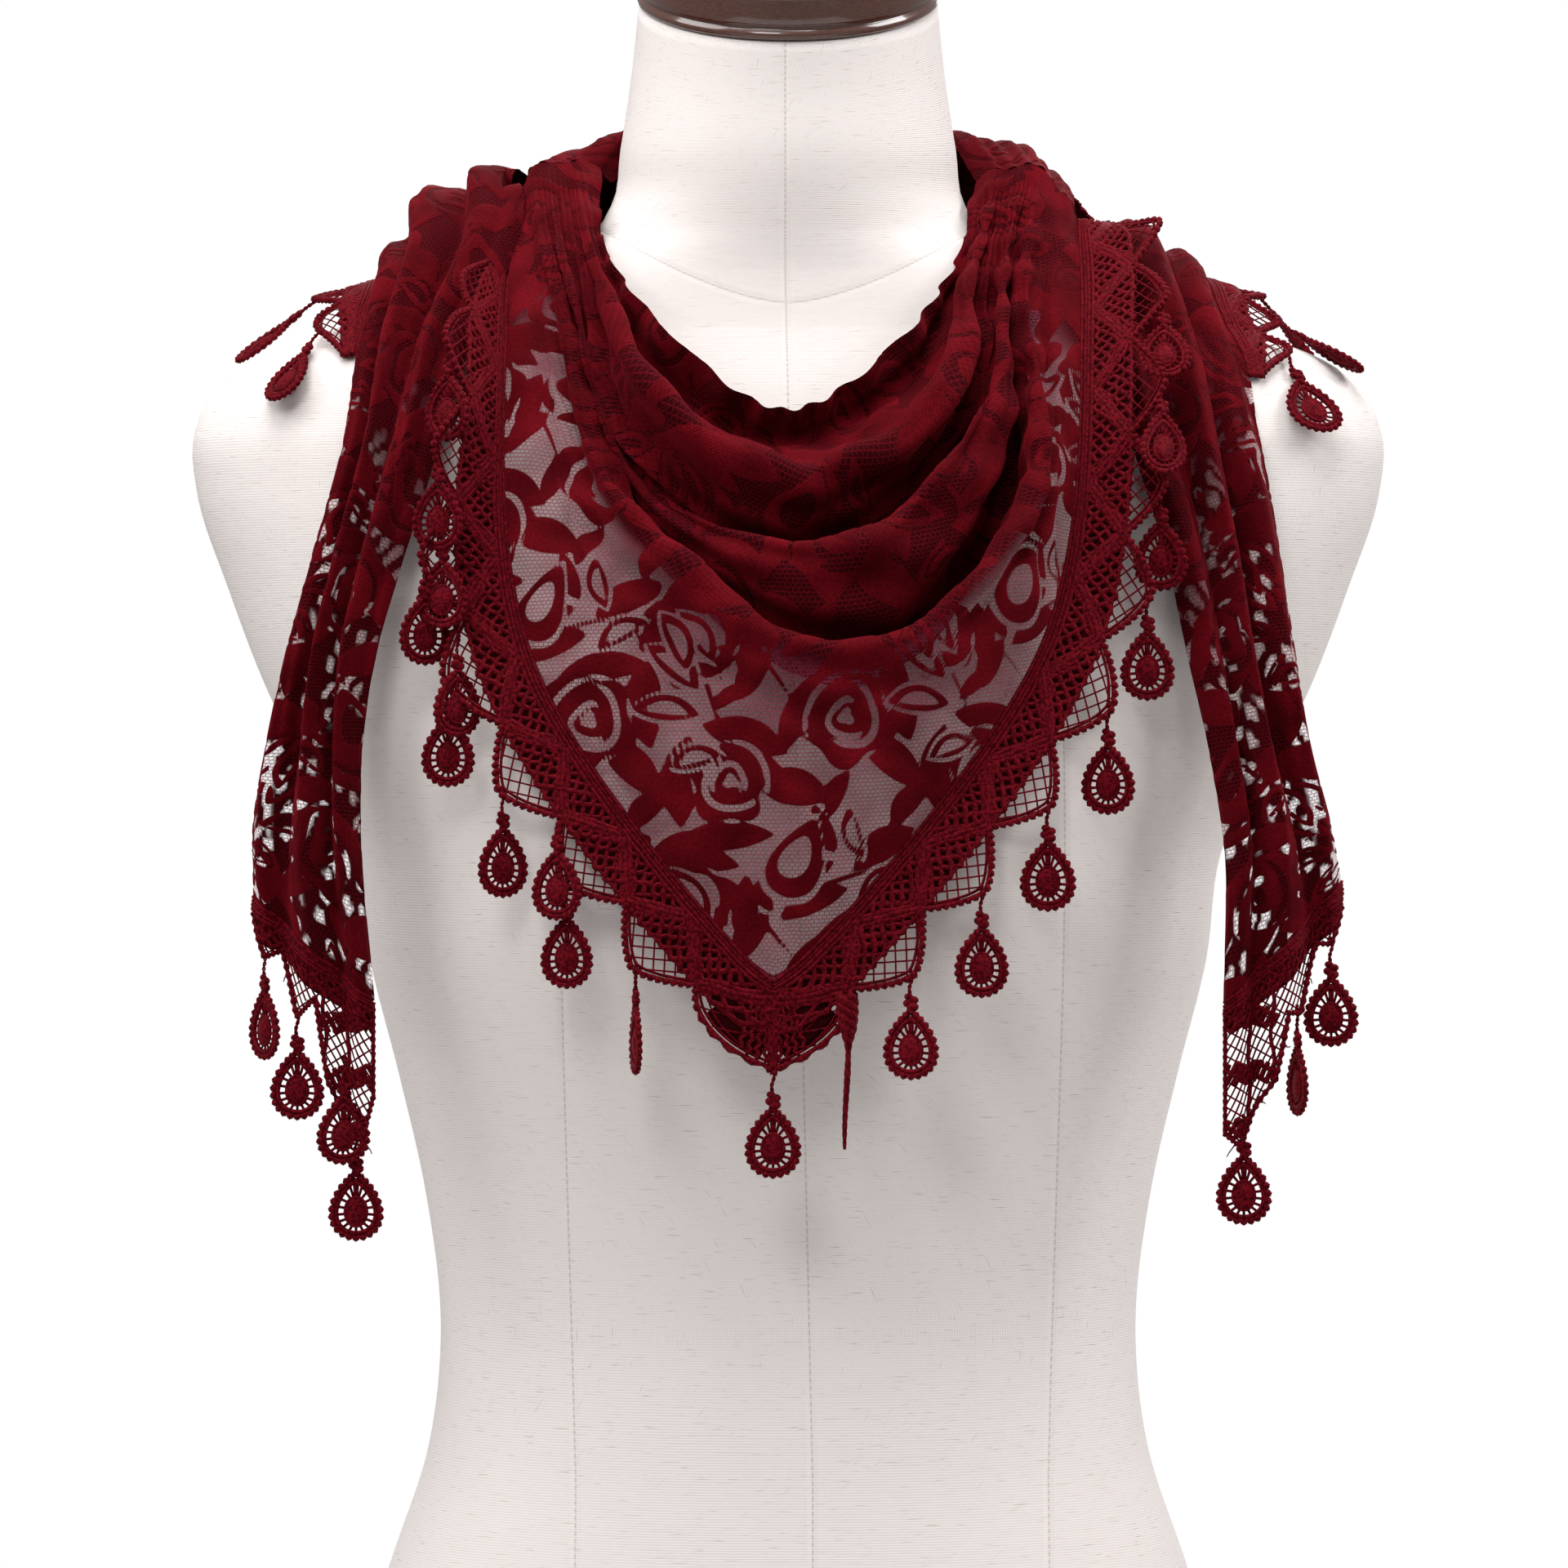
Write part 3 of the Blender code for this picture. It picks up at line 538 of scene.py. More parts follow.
# ---- lace pattern
@dataclass(frozen=True)
class LacePattern:
    """The lace's opaque motifs, as depth inside them in millimetres: roses, petals, leaves, loops and stems."""

    tile: tuple[float, float] = (88.0, 84.0)
    origin: tuple[float, float] = (-12.0, 66.0)
    roses: tuple = (
        # x, y, size, turn in degrees
        (0, 0, 1, 20),
        (39, 18, 1.12, 130),
        (-14, 44, 0.95, 250),
    )
    petals: tuple = (
        # x, y, turn in degrees, half length, half width
        (5, 14.5, -20, 16, 5.6),
        (-17.5, 0, 82, 15.5, 6.4),
        (-4, -17.5, 4, 17, 4.8),
        (20.5, -3, -14, 13, 6.2),
        (22, 21, 66, 14, 5.2),
        (57, 24, 100, 15, 6.6),
        (42, 36, 8, 16, 4.8),
        (55, 4, -38, 14, 6),
        (-30, 52, 60, 12, 5),
        (-14, 60, -8, 15, 4.6),
        (2, 42, 95, 12, 4.6),
        (70, -22, 20, 15, 5.4),
        (4, -50, 58, 9, 5),
        (24, -40, 20, 12, 4.6),
        (48, 60, 30, 13, 5.4),
        (-38, 16, 96, 14, 4.4),
        (8, -36, 104, 8, 3.2),
        (-30, -10, 40, 10, 4),
        (34, -6, 60, 8.5, 3.4),
        (28, 66, 110, 9, 4),
        (60, -34, 95, 9, 3.8),
        (-2, 28, 30, 8, 3),
    )
    leaves: tuple = (
        (-22, 38, -35, 12, 4.3),
        (-23, 23.5, -2, 11.5, 4.2),
        (-15, -36, -50, 11, 3.8),
        (46, -36, 35, 9.5, 3.8),
        (22, 52, 30, 10, 4),
        (66, 46, -60, 11, 4.2),
        (38, -20, 100, 9, 3.4),
        (76, 8, 15, 9, 3.6),
    )
    loops: tuple = ((20, -26, -118, 13.5, 8),)
    stems: tuple = (
        (-10, 30, -62, 20, 0.8),
        (12, 34, -48, 15, 0.7),
        (-8, -34, -50, 14, 0.7),
        (60, -12, 40, 18, 0.8),
        (34, 50, 12, 18, 0.8),
    )
    petal_rings: tuple = (
        # radius, half width of the gap, middle of the gap in degrees, how far round it reaches
        (5.6, 1.05, 60.0, 0.75),
        (9.6, 1.15, 210.0, 0.6),
        (12.9, 1.0, 20.0, 0.35),
    )

    @staticmethod
    def turned(offset: Array, degrees: float) -> tuple[Array, Array]:
        """Turns offsets.

        Args:
            offset: Places from a motif's middle.
            degrees: The direction to turn them to.

        Returns:
            Their parts along and across that direction.
        """
        angle = math.radians(degrees)
        along = offset[..., 0] * math.cos(angle) + offset[..., 1] * math.sin(angle)
        return along, offset[..., 1] * math.cos(angle) - offset[..., 0] * math.sin(angle)

    def rose(self, offset: Array, size: float, turn: float) -> Array:
        """Draws a rose: a netted heart, and petals parted by broken rings of net.

        Args:
            offset: Places from its middle.
            size: Its size, 1 for an ordinary one.
            turn: How far it is turned, in degrees.

        Returns:
            Depth inside it.
        """
        along, across = (part / size for part in self.turned(offset, turn))
        angle = np.arctan2(across, along)
        reach = np.hypot(along, across * 1.12) + 0.55 * np.sin(3 * angle + 1.0)
        edge = 14.6 + 1.7 * np.cos(5 * angle + 0.8) + 0.9 * np.cos(3 * angle) - reach
        depth = np.minimum(edge, reach - 2.5)
        for ring, gap, middle, share in self.petal_rings:
            away = np.abs((angle - math.radians(middle) + math.pi) % (2 * math.pi) - math.pi)
            width = gap * np.clip((share * math.pi - away) * 2.2, -1, 1)
            drift = ring + 0.9 * np.sin(angle - math.radians(middle))
            depth = np.minimum(depth, np.abs(reach - drift) - width)
        return depth * size

    def almond(self, offset: Array, turn: float, half_length: float, half_width: float) -> Array:
        """Draws an almond that bends a little.

        Args:
            offset: Places from its middle.
            turn: How far it is turned, in degrees.
            half_length: Half its length.
            half_width: Half its width.

        Returns:
            Depth inside it.
        """
        along, across = self.turned(offset, turn)
        across = across + 1.6 * (along / half_length) ** 2
        return half_width * (1 - np.abs(along / half_length) ** 2.2) - np.abs(across)

    def wrapped(self, flat: Array, x: float, y: float) -> Array:
        """Returns each point's offset from the nearest repeat of a motif's middle."""
        tile = np.array(self.tile)
        return (flat - (x, y) + tile / 2) % tile - tile / 2

    def depth(self, flat: Array) -> Array:
        """Reads the pattern.

        Args:
            flat: Places on the flat cloth.

        Returns:
            Depth inside the nearest opaque motif, and below 0 on the open net.
        """
        flat = flat - np.array(self.origin)
        x, y = flat[..., 0], flat[..., 1]
        flat = flat + np.stack([1.3 * np.sin(y / 13 + 1), 1.1 * np.sin(x / 15 + 2)], axis=-1)
        found = np.full(flat.shape[:-1], -9.0)
        for mx, my, turn, half_length, half_width in self.petals:
            petal = self.almond(self.wrapped(flat, mx, my), turn, half_length, half_width)
            found = np.maximum(found, petal)
        for mx, my, turn, half_length, half_width in self.stems:
            found = np.maximum(found, self.almond(self.wrapped(flat, mx, my), turn, half_length, half_width))
        for mx, my, size, turn in self.roses:
            offset = self.wrapped(flat, mx, my)
            clear = np.hypot(offset[..., 0], offset[..., 1]) - 13.5 * size
            found = np.maximum(np.minimum(found, clear), self.rose(offset, size, turn))
        for mx, my, turn, half_length, half_width in self.leaves:
            offset = self.wrapped(flat, mx, my)
            outline = self.almond(offset, turn, half_length, half_width)
            eye = self.almond(offset, turn, 0.66 * half_length, 0.5 * half_width)
            found = np.maximum(np.minimum(found, -outline - 1.3), np.minimum(outline, -eye))
        for mx, my, turn, half_length, half_width in self.loops:
            along, across = self.turned(self.wrapped(flat, mx, my), turn)
            ring = 1 - np.hypot(along / half_length, across / (half_width * (1 + 0.55 * along / half_length)))
            thick = 1.9 + 0.8 * np.clip(across / half_width, -1, 1)
            loop = thick - np.abs(ring * half_width - thick)
            found = np.maximum(np.minimum(found, -ring * half_width - 1.2), loop)
        return found


def laid_flat(grid: Array) -> Array:
    """Lays a grid of cloth out flat with the least stretch, as it was cut.

    Args:
        grid: Rows of points from neck edge to hem.

    Returns:
        Places on the flat cloth in millimetres, with the hem's lowest point at 0 and the neck edge above it.
    """
    faces = grid_faces(*grid.shape[:2])
    cut = make_piece("flat_cut", grid.reshape(-1, 3), faces.ravel(), np.full(len(faces), 4), None)
    cut.data.uv_layers.new(name=FLAT_MAP)
    bpy.context.view_layer.objects.active = cut
    cut.select_set(True)
    bpy.ops.object.mode_set(mode="EDIT")
    bpy.ops.mesh.select_all(action="SELECT")
    bpy.ops.uv.unwrap(method="MINIMUM_STRETCH", margin=0.0, iterations=30)
    bpy.ops.object.mode_set(mode="OBJECT")
    placed = np.empty(len(cut.data.loops) * 2, np.float32)
    cut.data.uv_layers[0].data.foreach_get("uv", placed)
    corners = np.empty(len(cut.data.loops), np.int32)
    cut.data.loops.foreach_get("vertex_index", corners)
    flat = np.zeros((len(cut.data.vertices), 2))
    flat[corners] = placed.reshape(-1, 2)
    bpy.data.meshes.remove(cut.data)
    flat = flat.reshape(*grid.shape[:2], 2)
    middle = grid.shape[1] // 2
    flat -= flat[-1, middle]
    upward = unit(flat[0, middle])
    rightward = np.array([upward[1], -upward[0]])
    rightward *= np.sign((flat[:, -1] - flat[:, 0]).sum(axis=0) @ rightward)
    flat = np.stack([flat @ rightward, flat @ upward], axis=-1)
    return flat * math.sqrt(grid_area(grid) / grid_area(np.concatenate([flat, flat[..., :1] * 0], axis=-1)))


def refined(grid: Array, rows: Array, columns: Array) -> Array:
    """Reads a grid of values smoothly at other rows and columns.

    Args:
        grid: The grid.
        rows: Places of the new rows, from 0 to 1.
        columns: Places of the new columns, from 0 to 1.

    Returns:
        The new grid.
    """
    tall = through(np.linspace(0, 1, grid.shape[0]), grid, rows)
    wide = through(np.linspace(0, 1, grid.shape[1]), tall.swapaxes(0, 1), columns)
    return wide.swapaxes(0, 1)


def unrolled_run(grid: Array) -> Array:
    """Lays a gathered run out flat along its middle line.

    Args:
        grid: Rows of points across the run, from its start to its end.

    Returns:
        Places on the flat cloth, in millimetres.
    """
    length = travelled(grid[:, grid.shape[1] // 2])
    across = np.array([travelled(row) for row in grid])
    across -= across[:, -1:] / 2
    return np.stack([across, np.broadcast_to(-length[:, None], across.shape)], axis=-1)


def grid_area(grid: Array) -> float:
    """Returns the area of a grid of points, in square millimetres."""
    cross = np.cross(np.diff(grid[:, :-1], axis=0), np.diff(grid[:-1], axis=1))
    return float(np.linalg.norm(cross, axis=2).sum())


# ---- materials
def linear(hex_colour: str) -> tuple[float, float, float, float]:
    """Returns an sRGB hex colour as linear light, with full alpha."""
    parts = [int(hex_colour[at : at + 2], 16) / 255 for at in (1, 3, 5)]
    return (*(part / 12.92 if part <= 0.04045 else ((part + 0.055) / 1.055) ** 2.4 for part in parts), 1.0)


def add_node(
    tree: Tree,
    kind: str,
    inputs: Settings | None = None,
    output: str | int = 0,
    **settings: str,
) -> Socket | None:
    """Adds one shader node with its settings and links.

    Args:
        tree: The material's or world's node tree.
        kind: The node's type, without its ShaderNode prefix.
        inputs: Values, or other nodes' outputs, by input name or number.
        output: The name or number of the output to hand back.
        settings: The node's own settings.

    Returns:
        That output, or None where the node has no output.
    """
    node = tree.nodes.new("ShaderNode" + kind)
    for name, value in settings.items():
        setattr(node, name, value)
    for name, value in (inputs or {}).items():
        if isinstance(value, Socket):
            tree.links.new(value, node.inputs[name])
        else:
            node.inputs[name].default_value = value
    return node.outputs[output] if node.outputs else None


def new_material(name: str) -> tuple[bpy.types.Material, Tree]:
    """Makes a material with no nodes.

    Args:
        name: Its name.

    Returns:
        The material and its empty node tree.
    """
    made = bpy.data.materials.new(name)
    made.use_nodes = True
    made.node_tree.nodes.clear()
    return made, made.node_tree


def finish_surface(tree: Tree, inputs: Settings) -> None:
    """Adds the material's surface shader with these inputs, and its output."""
    surface = add_node(tree, "BsdfPrincipled", inputs)
    add_node(tree, "OutputMaterial", {"Surface": surface})


class PanelSeam(Enum):
    """The sewn seams between the linen's panels, each stored as a signed distance from it."""

    NECK = "seam_neck"
    CENTRE = "seam_centre"
    LEFT = "seam_left"
    RIGHT = "seam_right"
    SIDE = "seam_side"


@dataclass(frozen=True)
class WovenLinen:
    """Plain-woven linen drawn over a padded form, with slubs and sewn panel seams."""

    cloth: str = "#E9E1DE"
    slub_dark: str = "#B9ACA5"
    seam_shade: str = "#C9BFBA"
    # Linen yarns lie about 0.5 mm apart. They are drawn 0.9 mm apart, or they would not show.
    yarn_pitch: float = 0.9
    slub_length: float = 8.0
    slub_width: float = 0.55
    # Noise from which a weft or warp yarn counts as a slub, and how far above it the slub is full.
    weft_slub: float = 0.64
    warp_slub: float = 0.68
    slub_rise: float = 0.12
    # How much the slubs and the weave darken the cloth, and how far they and the seams stand out of it.
    slub_tone: float = 0.62
    weave_tone: float = 0.12
    slub_height: float = 0.35
    weave_height: float = 0.14
    seam_depth: float = 1.5
    stitch_length: float = 2.6
    # Half widths of a line of stitches, where it is solid and where it has faded, and of the hollow along it.
    stitch_solid: float = 0.15
    stitch_faded: float = 0.45
    seam_hollow: float = 2.2
    roughness: float = 0.85

    def streaks(self, tree: Tree, place: Socket, scale: tuple[float, float, float], low: float) -> Socket:
        """Finds the cloth's thick yarns in one direction.

        Args:
            tree: The material's node tree.
            place: Places on the flat cloth.
            scale: How finely the noise is cut along each axis.
            low: The noise from which a yarn counts as thick.

        Returns:
            How far each point lies on one of them, from 0 to 1.
        """
        stretched = add_node(tree, "VectorMath", {0: place, 1: scale}, operation="MULTIPLY")
        noise = add_node(tree, "TexNoise", {"Vector": stretched, "Scale": 1.0, "Detail": 1.0}, "Fac")
        return add_node(tree, "MapRange", {"Value": noise, "From Min": low, "From Max": low + self.slub_rise})

    def stitched(self, tree: Tree) -> tuple[Socket, Socket]:
        """Finds the sewn seams.

        Args:
            tree: The material's node tree.

        Returns:
            How far each point lies on a line of stitches, and how far it lies outside the hollow along it.
        """
        neck = add_node(tree, "Attribute", output="Fac", attribute_name=PanelSeam.NECK.value)
        nearest = add_node(tree, "Math", {0: neck}, operation="ABSOLUTE")
        for seam in (PanelSeam.CENTRE, PanelSeam.LEFT, PanelSeam.RIGHT, PanelSeam.SIDE):
            side = add_node(tree, "Attribute", output="Fac", attribute_name=seam.value)
            side = add_node(tree, "Math", {0: side}, operation="ABSOLUTE")
            if seam is not PanelSeam.CENTRE:
                side = add_node(tree, "Math", {0: side, 1: neck}, operation="MAXIMUM")
            nearest = add_node(tree, "Math", {0: nearest, 1: side}, operation="MINIMUM")
        fade = {"From Min": self.stitch_solid, "From Max": self.stitch_faded, "To Min": 1.0, "To Max": 0.0}
        line = add_node(tree, "MapRange", {"Value": nearest, **fade})
        dip = {"Value": nearest, "From Min": 0.0, "From Max": self.seam_hollow}
        return line, add_node(tree, "MapRange", dip, interpolation_type="SMOOTHSTEP")

    def make(self) -> bpy.types.Material:
        """Makes a matt off-white cloth whose thick yarns catch the light in short fine streaks.

        Returns:
            The material.
        """
        made, tree = new_material("woven_linen")
        place = add_node(tree, "UVMap", output="UV", uv_map=FLAT_MAP)
        level = self.streaks(tree, place, (1 / self.slub_length, 1 / self.slub_width, 1), self.weft_slub)
        upright = self.streaks(tree, place, (1 / self.slub_width, 1 / self.slub_length, 1), self.warp_slub)
        slub = add_node(tree, "Math", {0: level, 1: upright}, operation="MAXIMUM")
        parts = add_node(tree, "SeparateXYZ", {0: place}).node.outputs
        waves = []
        for part, pitch in (
            (parts[0], self.yarn_pitch), (parts[1], self.yarn_pitch), (parts[1], self.stitch_length),
        ):
            wave = add_node(tree, "Math", {0: part, 1: 2 * math.pi / pitch}, operation="MULTIPLY")
            waves.append(add_node(tree, "Math", {0: wave}, operation="SINE"))
        weave = add_node(tree, "Math", {0: waves[0], 1: waves[1]}, operation="ADD")
        line, hollow = self.stitched(tree)
        # A stitch is a little longer than the gap after it.
        stitch = {"Value": waves[2], "From Min": -0.6, "From Max": 0.2, "To Min": 0.35}
        stitch = add_node(tree, "MapRange", stitch)
        line = add_node(tree, "Math", {0: line, 1: stitch}, operation="MULTIPLY")
        shade = add_node(tree, "Math", {0: slub, 1: self.slub_tone}, operation="MULTIPLY")
        shade = add_node(tree, "Math", {0: weave, 1: self.weave_tone, 2: shade}, operation="MULTIPLY_ADD")
        shade = add_node(tree, "Math", {0: shade, 1: 0.0}, operation="MAXIMUM")
        colours = {0: shade, 6: linear(self.cloth), 7: linear(self.slub_dark)}
        colour = add_node(tree, "Mix", colours, 2, data_type="RGBA")
        colour = add_node(tree, "Mix", {0: line, 6: colour, 7: linear(self.seam_shade)}, 2, data_type="RGBA")
        height = add_node(tree, "Math", {0: slub, 1: self.slub_height}, operation="MULTIPLY")
        height = add_node(tree, "Math", {0: weave, 1: self.weave_height, 2: height}, operation="MULTIPLY_ADD")
        height = add_node(tree, "Math", {0: hollow, 1: self.seam_depth, 2: height}, operation="MULTIPLY_ADD")
        finish_surface(
            tree,
            {
                "Base Color": colour,
                "Roughness": self.roughness,
                "IOR": 1.5,
                "Specular IOR Level": 0.2,
                "Normal": add_node(tree, "Bump", {"Height": height, "Strength": 0.45, "Distance": 0.0003}),
            },
        )
        return made


@dataclass(frozen=True)
class LacqueredWood:
    """Turned hardwood, stained dark brown and lacquered."""

    stain: str = "#6E463A"
    grain: str = "#33190F"
    # Growth rings in turned beech are 1 to 3 mm apart.
    grain_pitch: float = 2.2
    # How much finer the grain is drawn along each axis.
    grain_stretch: tuple[float, float, float] = (1, 1, 6)
    roughness: float = 0.22
    coat_roughness: float = 0.06

    def make(self) -> bpy.types.Material:
        """Makes a nearly black brown, with soft grain under a clear glossy coat.

        Returns:
            The material.
        """
        made, tree = new_material("lacquered_turned_wood")
        place = add_node(tree, "TexCoord", output="Object")
        stretched = add_node(tree, "VectorMath", {0: place, 1: self.grain_stretch}, operation="MULTIPLY")
        noise = {"Vector": stretched, "Scale": 1 / (self.grain_pitch * MM), "Detail": 3.0}
        rings = add_node(tree, "TexNoise", noise, "Fac")
        colours = {0: rings, 6: linear(self.grain), 7: linear(self.stain)}
        finish_surface(
            tree,
            {
                "Base Color": add_node(tree, "Mix", colours, 2, data_type="RGBA"),
                "Roughness": self.roughness,
                "IOR": 1.5,
                "Coat Weight": 1.0,
                "Coat Roughness": self.coat_roughness,
            },
        )
        return made


@dataclass(frozen=True)
class RaschelLace:
    """Warp-knitted polyester lace: a fine open net with close-knitted roses and leaves, dyed wine red."""

    motif: str = "#640A14"
    motif_deep: str = "#46050C"
    net: str = "#520911"
    # Painted light: the same yarn drawn lighter and pinker where the lit form shows behind the net.
    net_lit_over_form: str = "#8C3449"
    # Painted shade: the near-black red that fills the net's holes where the cloth lies in layers, standing for the
    # shaded layer behind them.
    behind: str = "#2E0409"
    glint: str = "#FF5A5A"
    sheen: str = "#B4303C"
    # The net's cells are about 1.4 by 1.1 mm. They are drawn at 1.7 by 1.25 mm, or they would blur.
    cell: tuple[float, float] = (1.7, 1.25)
    thread: float = 0.36
    # Scale at which the brick pattern that draws the net is laid out.
    net_scale: float = 0.1
    # A single yarn is sheer enough for a fifth of the light to pass it, and a fifth of each open hole is filled with
    # the lighter yarn colour, a painted glow of light through the lace.
    yarn_cover: float = 0.8
    hole_cover: float = 0.2
    # Half the width over which a motif's edge closes.
    motif_edge: float = 0.16
    # Knitted columns in the motifs are 0.7 mm apart, drawn at 1.2 mm, and their courses a little closer.
    column_pitch: float = 1.2
    courses_per_column: float = 1.2
    # How many light and dark blotches of dye, and tufts of fuzz, lie along one millimetre.
    blotches: float = 0.045
    tufts: float = 0.9
    roughness: float = 0.7

    def make(self) -> bpy.types.Material:
        """Makes soft red cloth that lets what is behind it show through the holes of its net, except where the cloth
        lies in layers: there the holes are filled with painted shade.

        Returns:
            The material.
        """
        made, tree = new_material("raschel_lace")
        place = add_node(tree, "UVMap", output="UV", uv_map=FLAT_MAP)
        bricks = {
            "Vector": place,
            "Scale": self.net_scale,
            "Mortar Size": self.thread / 2 * self.net_scale,
            "Mortar Smooth": 0.15,
            "Brick Width": self.cell[0] * self.net_scale,
            "Row Height": self.cell[1] * self.net_scale,
        }
        net = add_node(tree, "TexBrick", bricks, "Fac")
        depth = add_node(tree, "Attribute", output="Fac", attribute_name="motif")
        # Where the cloth lies in layers, the holes are made opaque and filled with painted shade.
        shaded_backing = add_node(tree, "Attribute", output="Fac", attribute_name="shaded_backing")
        edge = {"From Min": -self.motif_edge, "From Max": self.motif_edge}
        close = add_node(tree, "MapRange", {"Value": depth, **edge})
        cover = add_node(tree, "Math", {0: net, 1: close}, operation="MAXIMUM")
        alpha = add_node(tree, "Math", {0: net, 1: self.yarn_cover}, operation="MULTIPLY")
        for least in (self.hole_cover, close, shaded_backing):
            alpha = add_node(tree, "Math", {0: alpha, 1: least}, operation="MAXIMUM")
        blotch = add_node(tree, "TexNoise", {"Vector": place, "Scale": self.blotches, "Detail": 2.0}, "Fac")
        tone = add_node(tree, "MapRange", {"Value": blotch, "From Min": 0.35, "From Max": 0.65})
        colours = {0: tone, 6: linear(self.motif_deep), 7: linear(self.motif)}
        knitted = add_node(tree, "Mix", colours, 2, data_type="RGBA")
        colours = {0: cover, 6: linear(self.behind), 7: linear(self.net)}
        layered = add_node(tree, "Mix", colours, 2, data_type="RGBA")
        colours = {0: shaded_backing, 6: linear(self.net_lit_over_form), 7: layered}
        shaded_ground = add_node(tree, "Mix", colours, 2, data_type="RGBA")
        colour = add_node(tree, "Mix", {0: close, 6: shaded_ground, 7: knitted}, 2, data_type="RGBA")
        parts = add_node(tree, "SeparateXYZ", {0: place}).node.outputs
        turn = 2 * math.pi / self.column_pitch
        waves = []
        for part, closer in ((parts[0], 1), (parts[1], self.courses_per_column)):
            wave = add_node(tree, "Math", {0: part, 1: turn * closer}, operation="MULTIPLY")
            waves.append(add_node(tree, "Math", {0: wave}, operation="SINE"))
        loops = add_node(tree, "Math", {0: waves[0], 1: waves[1]}, operation="MULTIPLY")
        fuzz = add_node(tree, "TexNoise", {"Vector": place, "Scale": self.tufts, "Detail": 2.0}, "Fac")
        grain = add_node(tree, "Math", {0: loops, 1: 0.22, 2: fuzz}, operation="MULTIPLY_ADD")
        shade = add_node(tree, "MapRange", {"Value": grain, "From Min": 0.28, "From Max": 0.72, "To Min": 0.56})
        shaded = {0: 1.0, 6: colour, 7: shade}
        colour = add_node(tree, "Mix", shaded, 2, data_type="RGBA", blend_type="MULTIPLY")
        height = add_node(tree, "Math", {0: grain, 1: 0.55, 2: cover}, operation="MULTIPLY_ADD")
        finish_surface(
            tree,
            {
                "Base Color": colour,
                "Roughness": self.roughness,
                "IOR": 1.5,
                "Specular IOR Level": 0.04,
                "Specular Tint": linear(self.glint),
                "Sheen Weight": 0.34,
                "Sheen Roughness": 0.5,
                "Sheen Tint": linear(self.sheen),
                "Alpha": alpha,
                "Normal": add_node(tree, "Bump", {"Height": height, "Strength": 0.8, "Distance": 0.0005}),
            },
        )
        return made


@dataclass(frozen=True)
class CrochetCotton:
    """Mercerised cotton thread, crocheted and dyed dark wine red."""

    thread: str = "#640C17"
    thread_deep: str = "#38040B"
    # Painted shade: the near-black red of the flat strips under the band, standing for the shaded layers seen
    # through its holes.
    shaded_ground: str = "#240306"
    glint: str = "#FF5A5A"
    sheen: str = "#B4303C"
    # The thread's twist repeats every 0.8 mm and is drawn as flecks of 1 mm.
    fleck: float = 1.0
    roughness: float = 0.62

    def make(self) -> bpy.types.Material:
        """Makes dense dark red cord with a slight gloss that breaks up along its twist.

        Returns:
            The material.
        """
        made, tree = new_material("crocheted_cotton")
        place = add_node(tree, "TexCoord", output="Object")
        noise = {"Vector": place, "Scale": 1 / (self.fleck * MM), "Detail": 2.0}
        flecks = add_node(tree, "TexNoise", noise, "Fac")
        tone = add_node(tree, "MapRange", {"Value": flecks, "From Min": 0.38, "From Max": 0.62})
        colours = {0: tone, 6: linear(self.thread_deep), 7: linear(self.thread)}
        colour = add_node(tree, "Mix", colours, 2, data_type="RGBA")
        # The flat strips under the band take the painted shade colour.
        shaded_ground = add_node(tree, "Attribute", output="Fac", attribute_name="shaded_ground")
        colour = add_node(tree, "Mix", {0: shaded_ground, 6: colour, 7: linear(self.shaded_ground)}, 2, data_type="RGBA")
        finish_surface(
            tree,
            {
                "Base Color": colour,
                "Roughness": self.roughness,
                "IOR": 1.5,
                "Specular IOR Level": 0.08,
                "Specular Tint": linear(self.glint),
                "Sheen Weight": 0.25,
                "Sheen Roughness": 0.5,
                "Sheen Tint": linear(self.sheen),
                "Normal": add_node(tree, "Bump", {"Height": flecks, "Strength": 0.6, "Distance": 0.0003}),
            },
        )
        return made


@dataclass(frozen=True)
class PaintedFloor:
    """A matt white painted studio floor."""

    paint: str = "#BEBEBE"
    # Roller stipple is 2 to 4 mm across.
    stipple: float = 3.0
    roughness: float = 0.9

    def make(self) -> bpy.types.Material:
        """Makes flat white with a very faint stipple.

        Returns:
            The material.
        """
        made, tree = new_material("matt_white_paint")
        place = add_node(tree, "TexCoord", output="Object")
        texture = add_node(tree, "TexNoise", {"Vector": place, "Scale": 1 / (self.stipple * MM)}, "Fac")
        bump = add_node(tree, "Bump", {"Height": texture, "Strength": 0.1, "Distance": 0.0002})
        paint = {"Base Color": linear(self.paint), "Roughness": self.roughness, "Normal": bump}
        finish_surface(tree, paint)
        return made


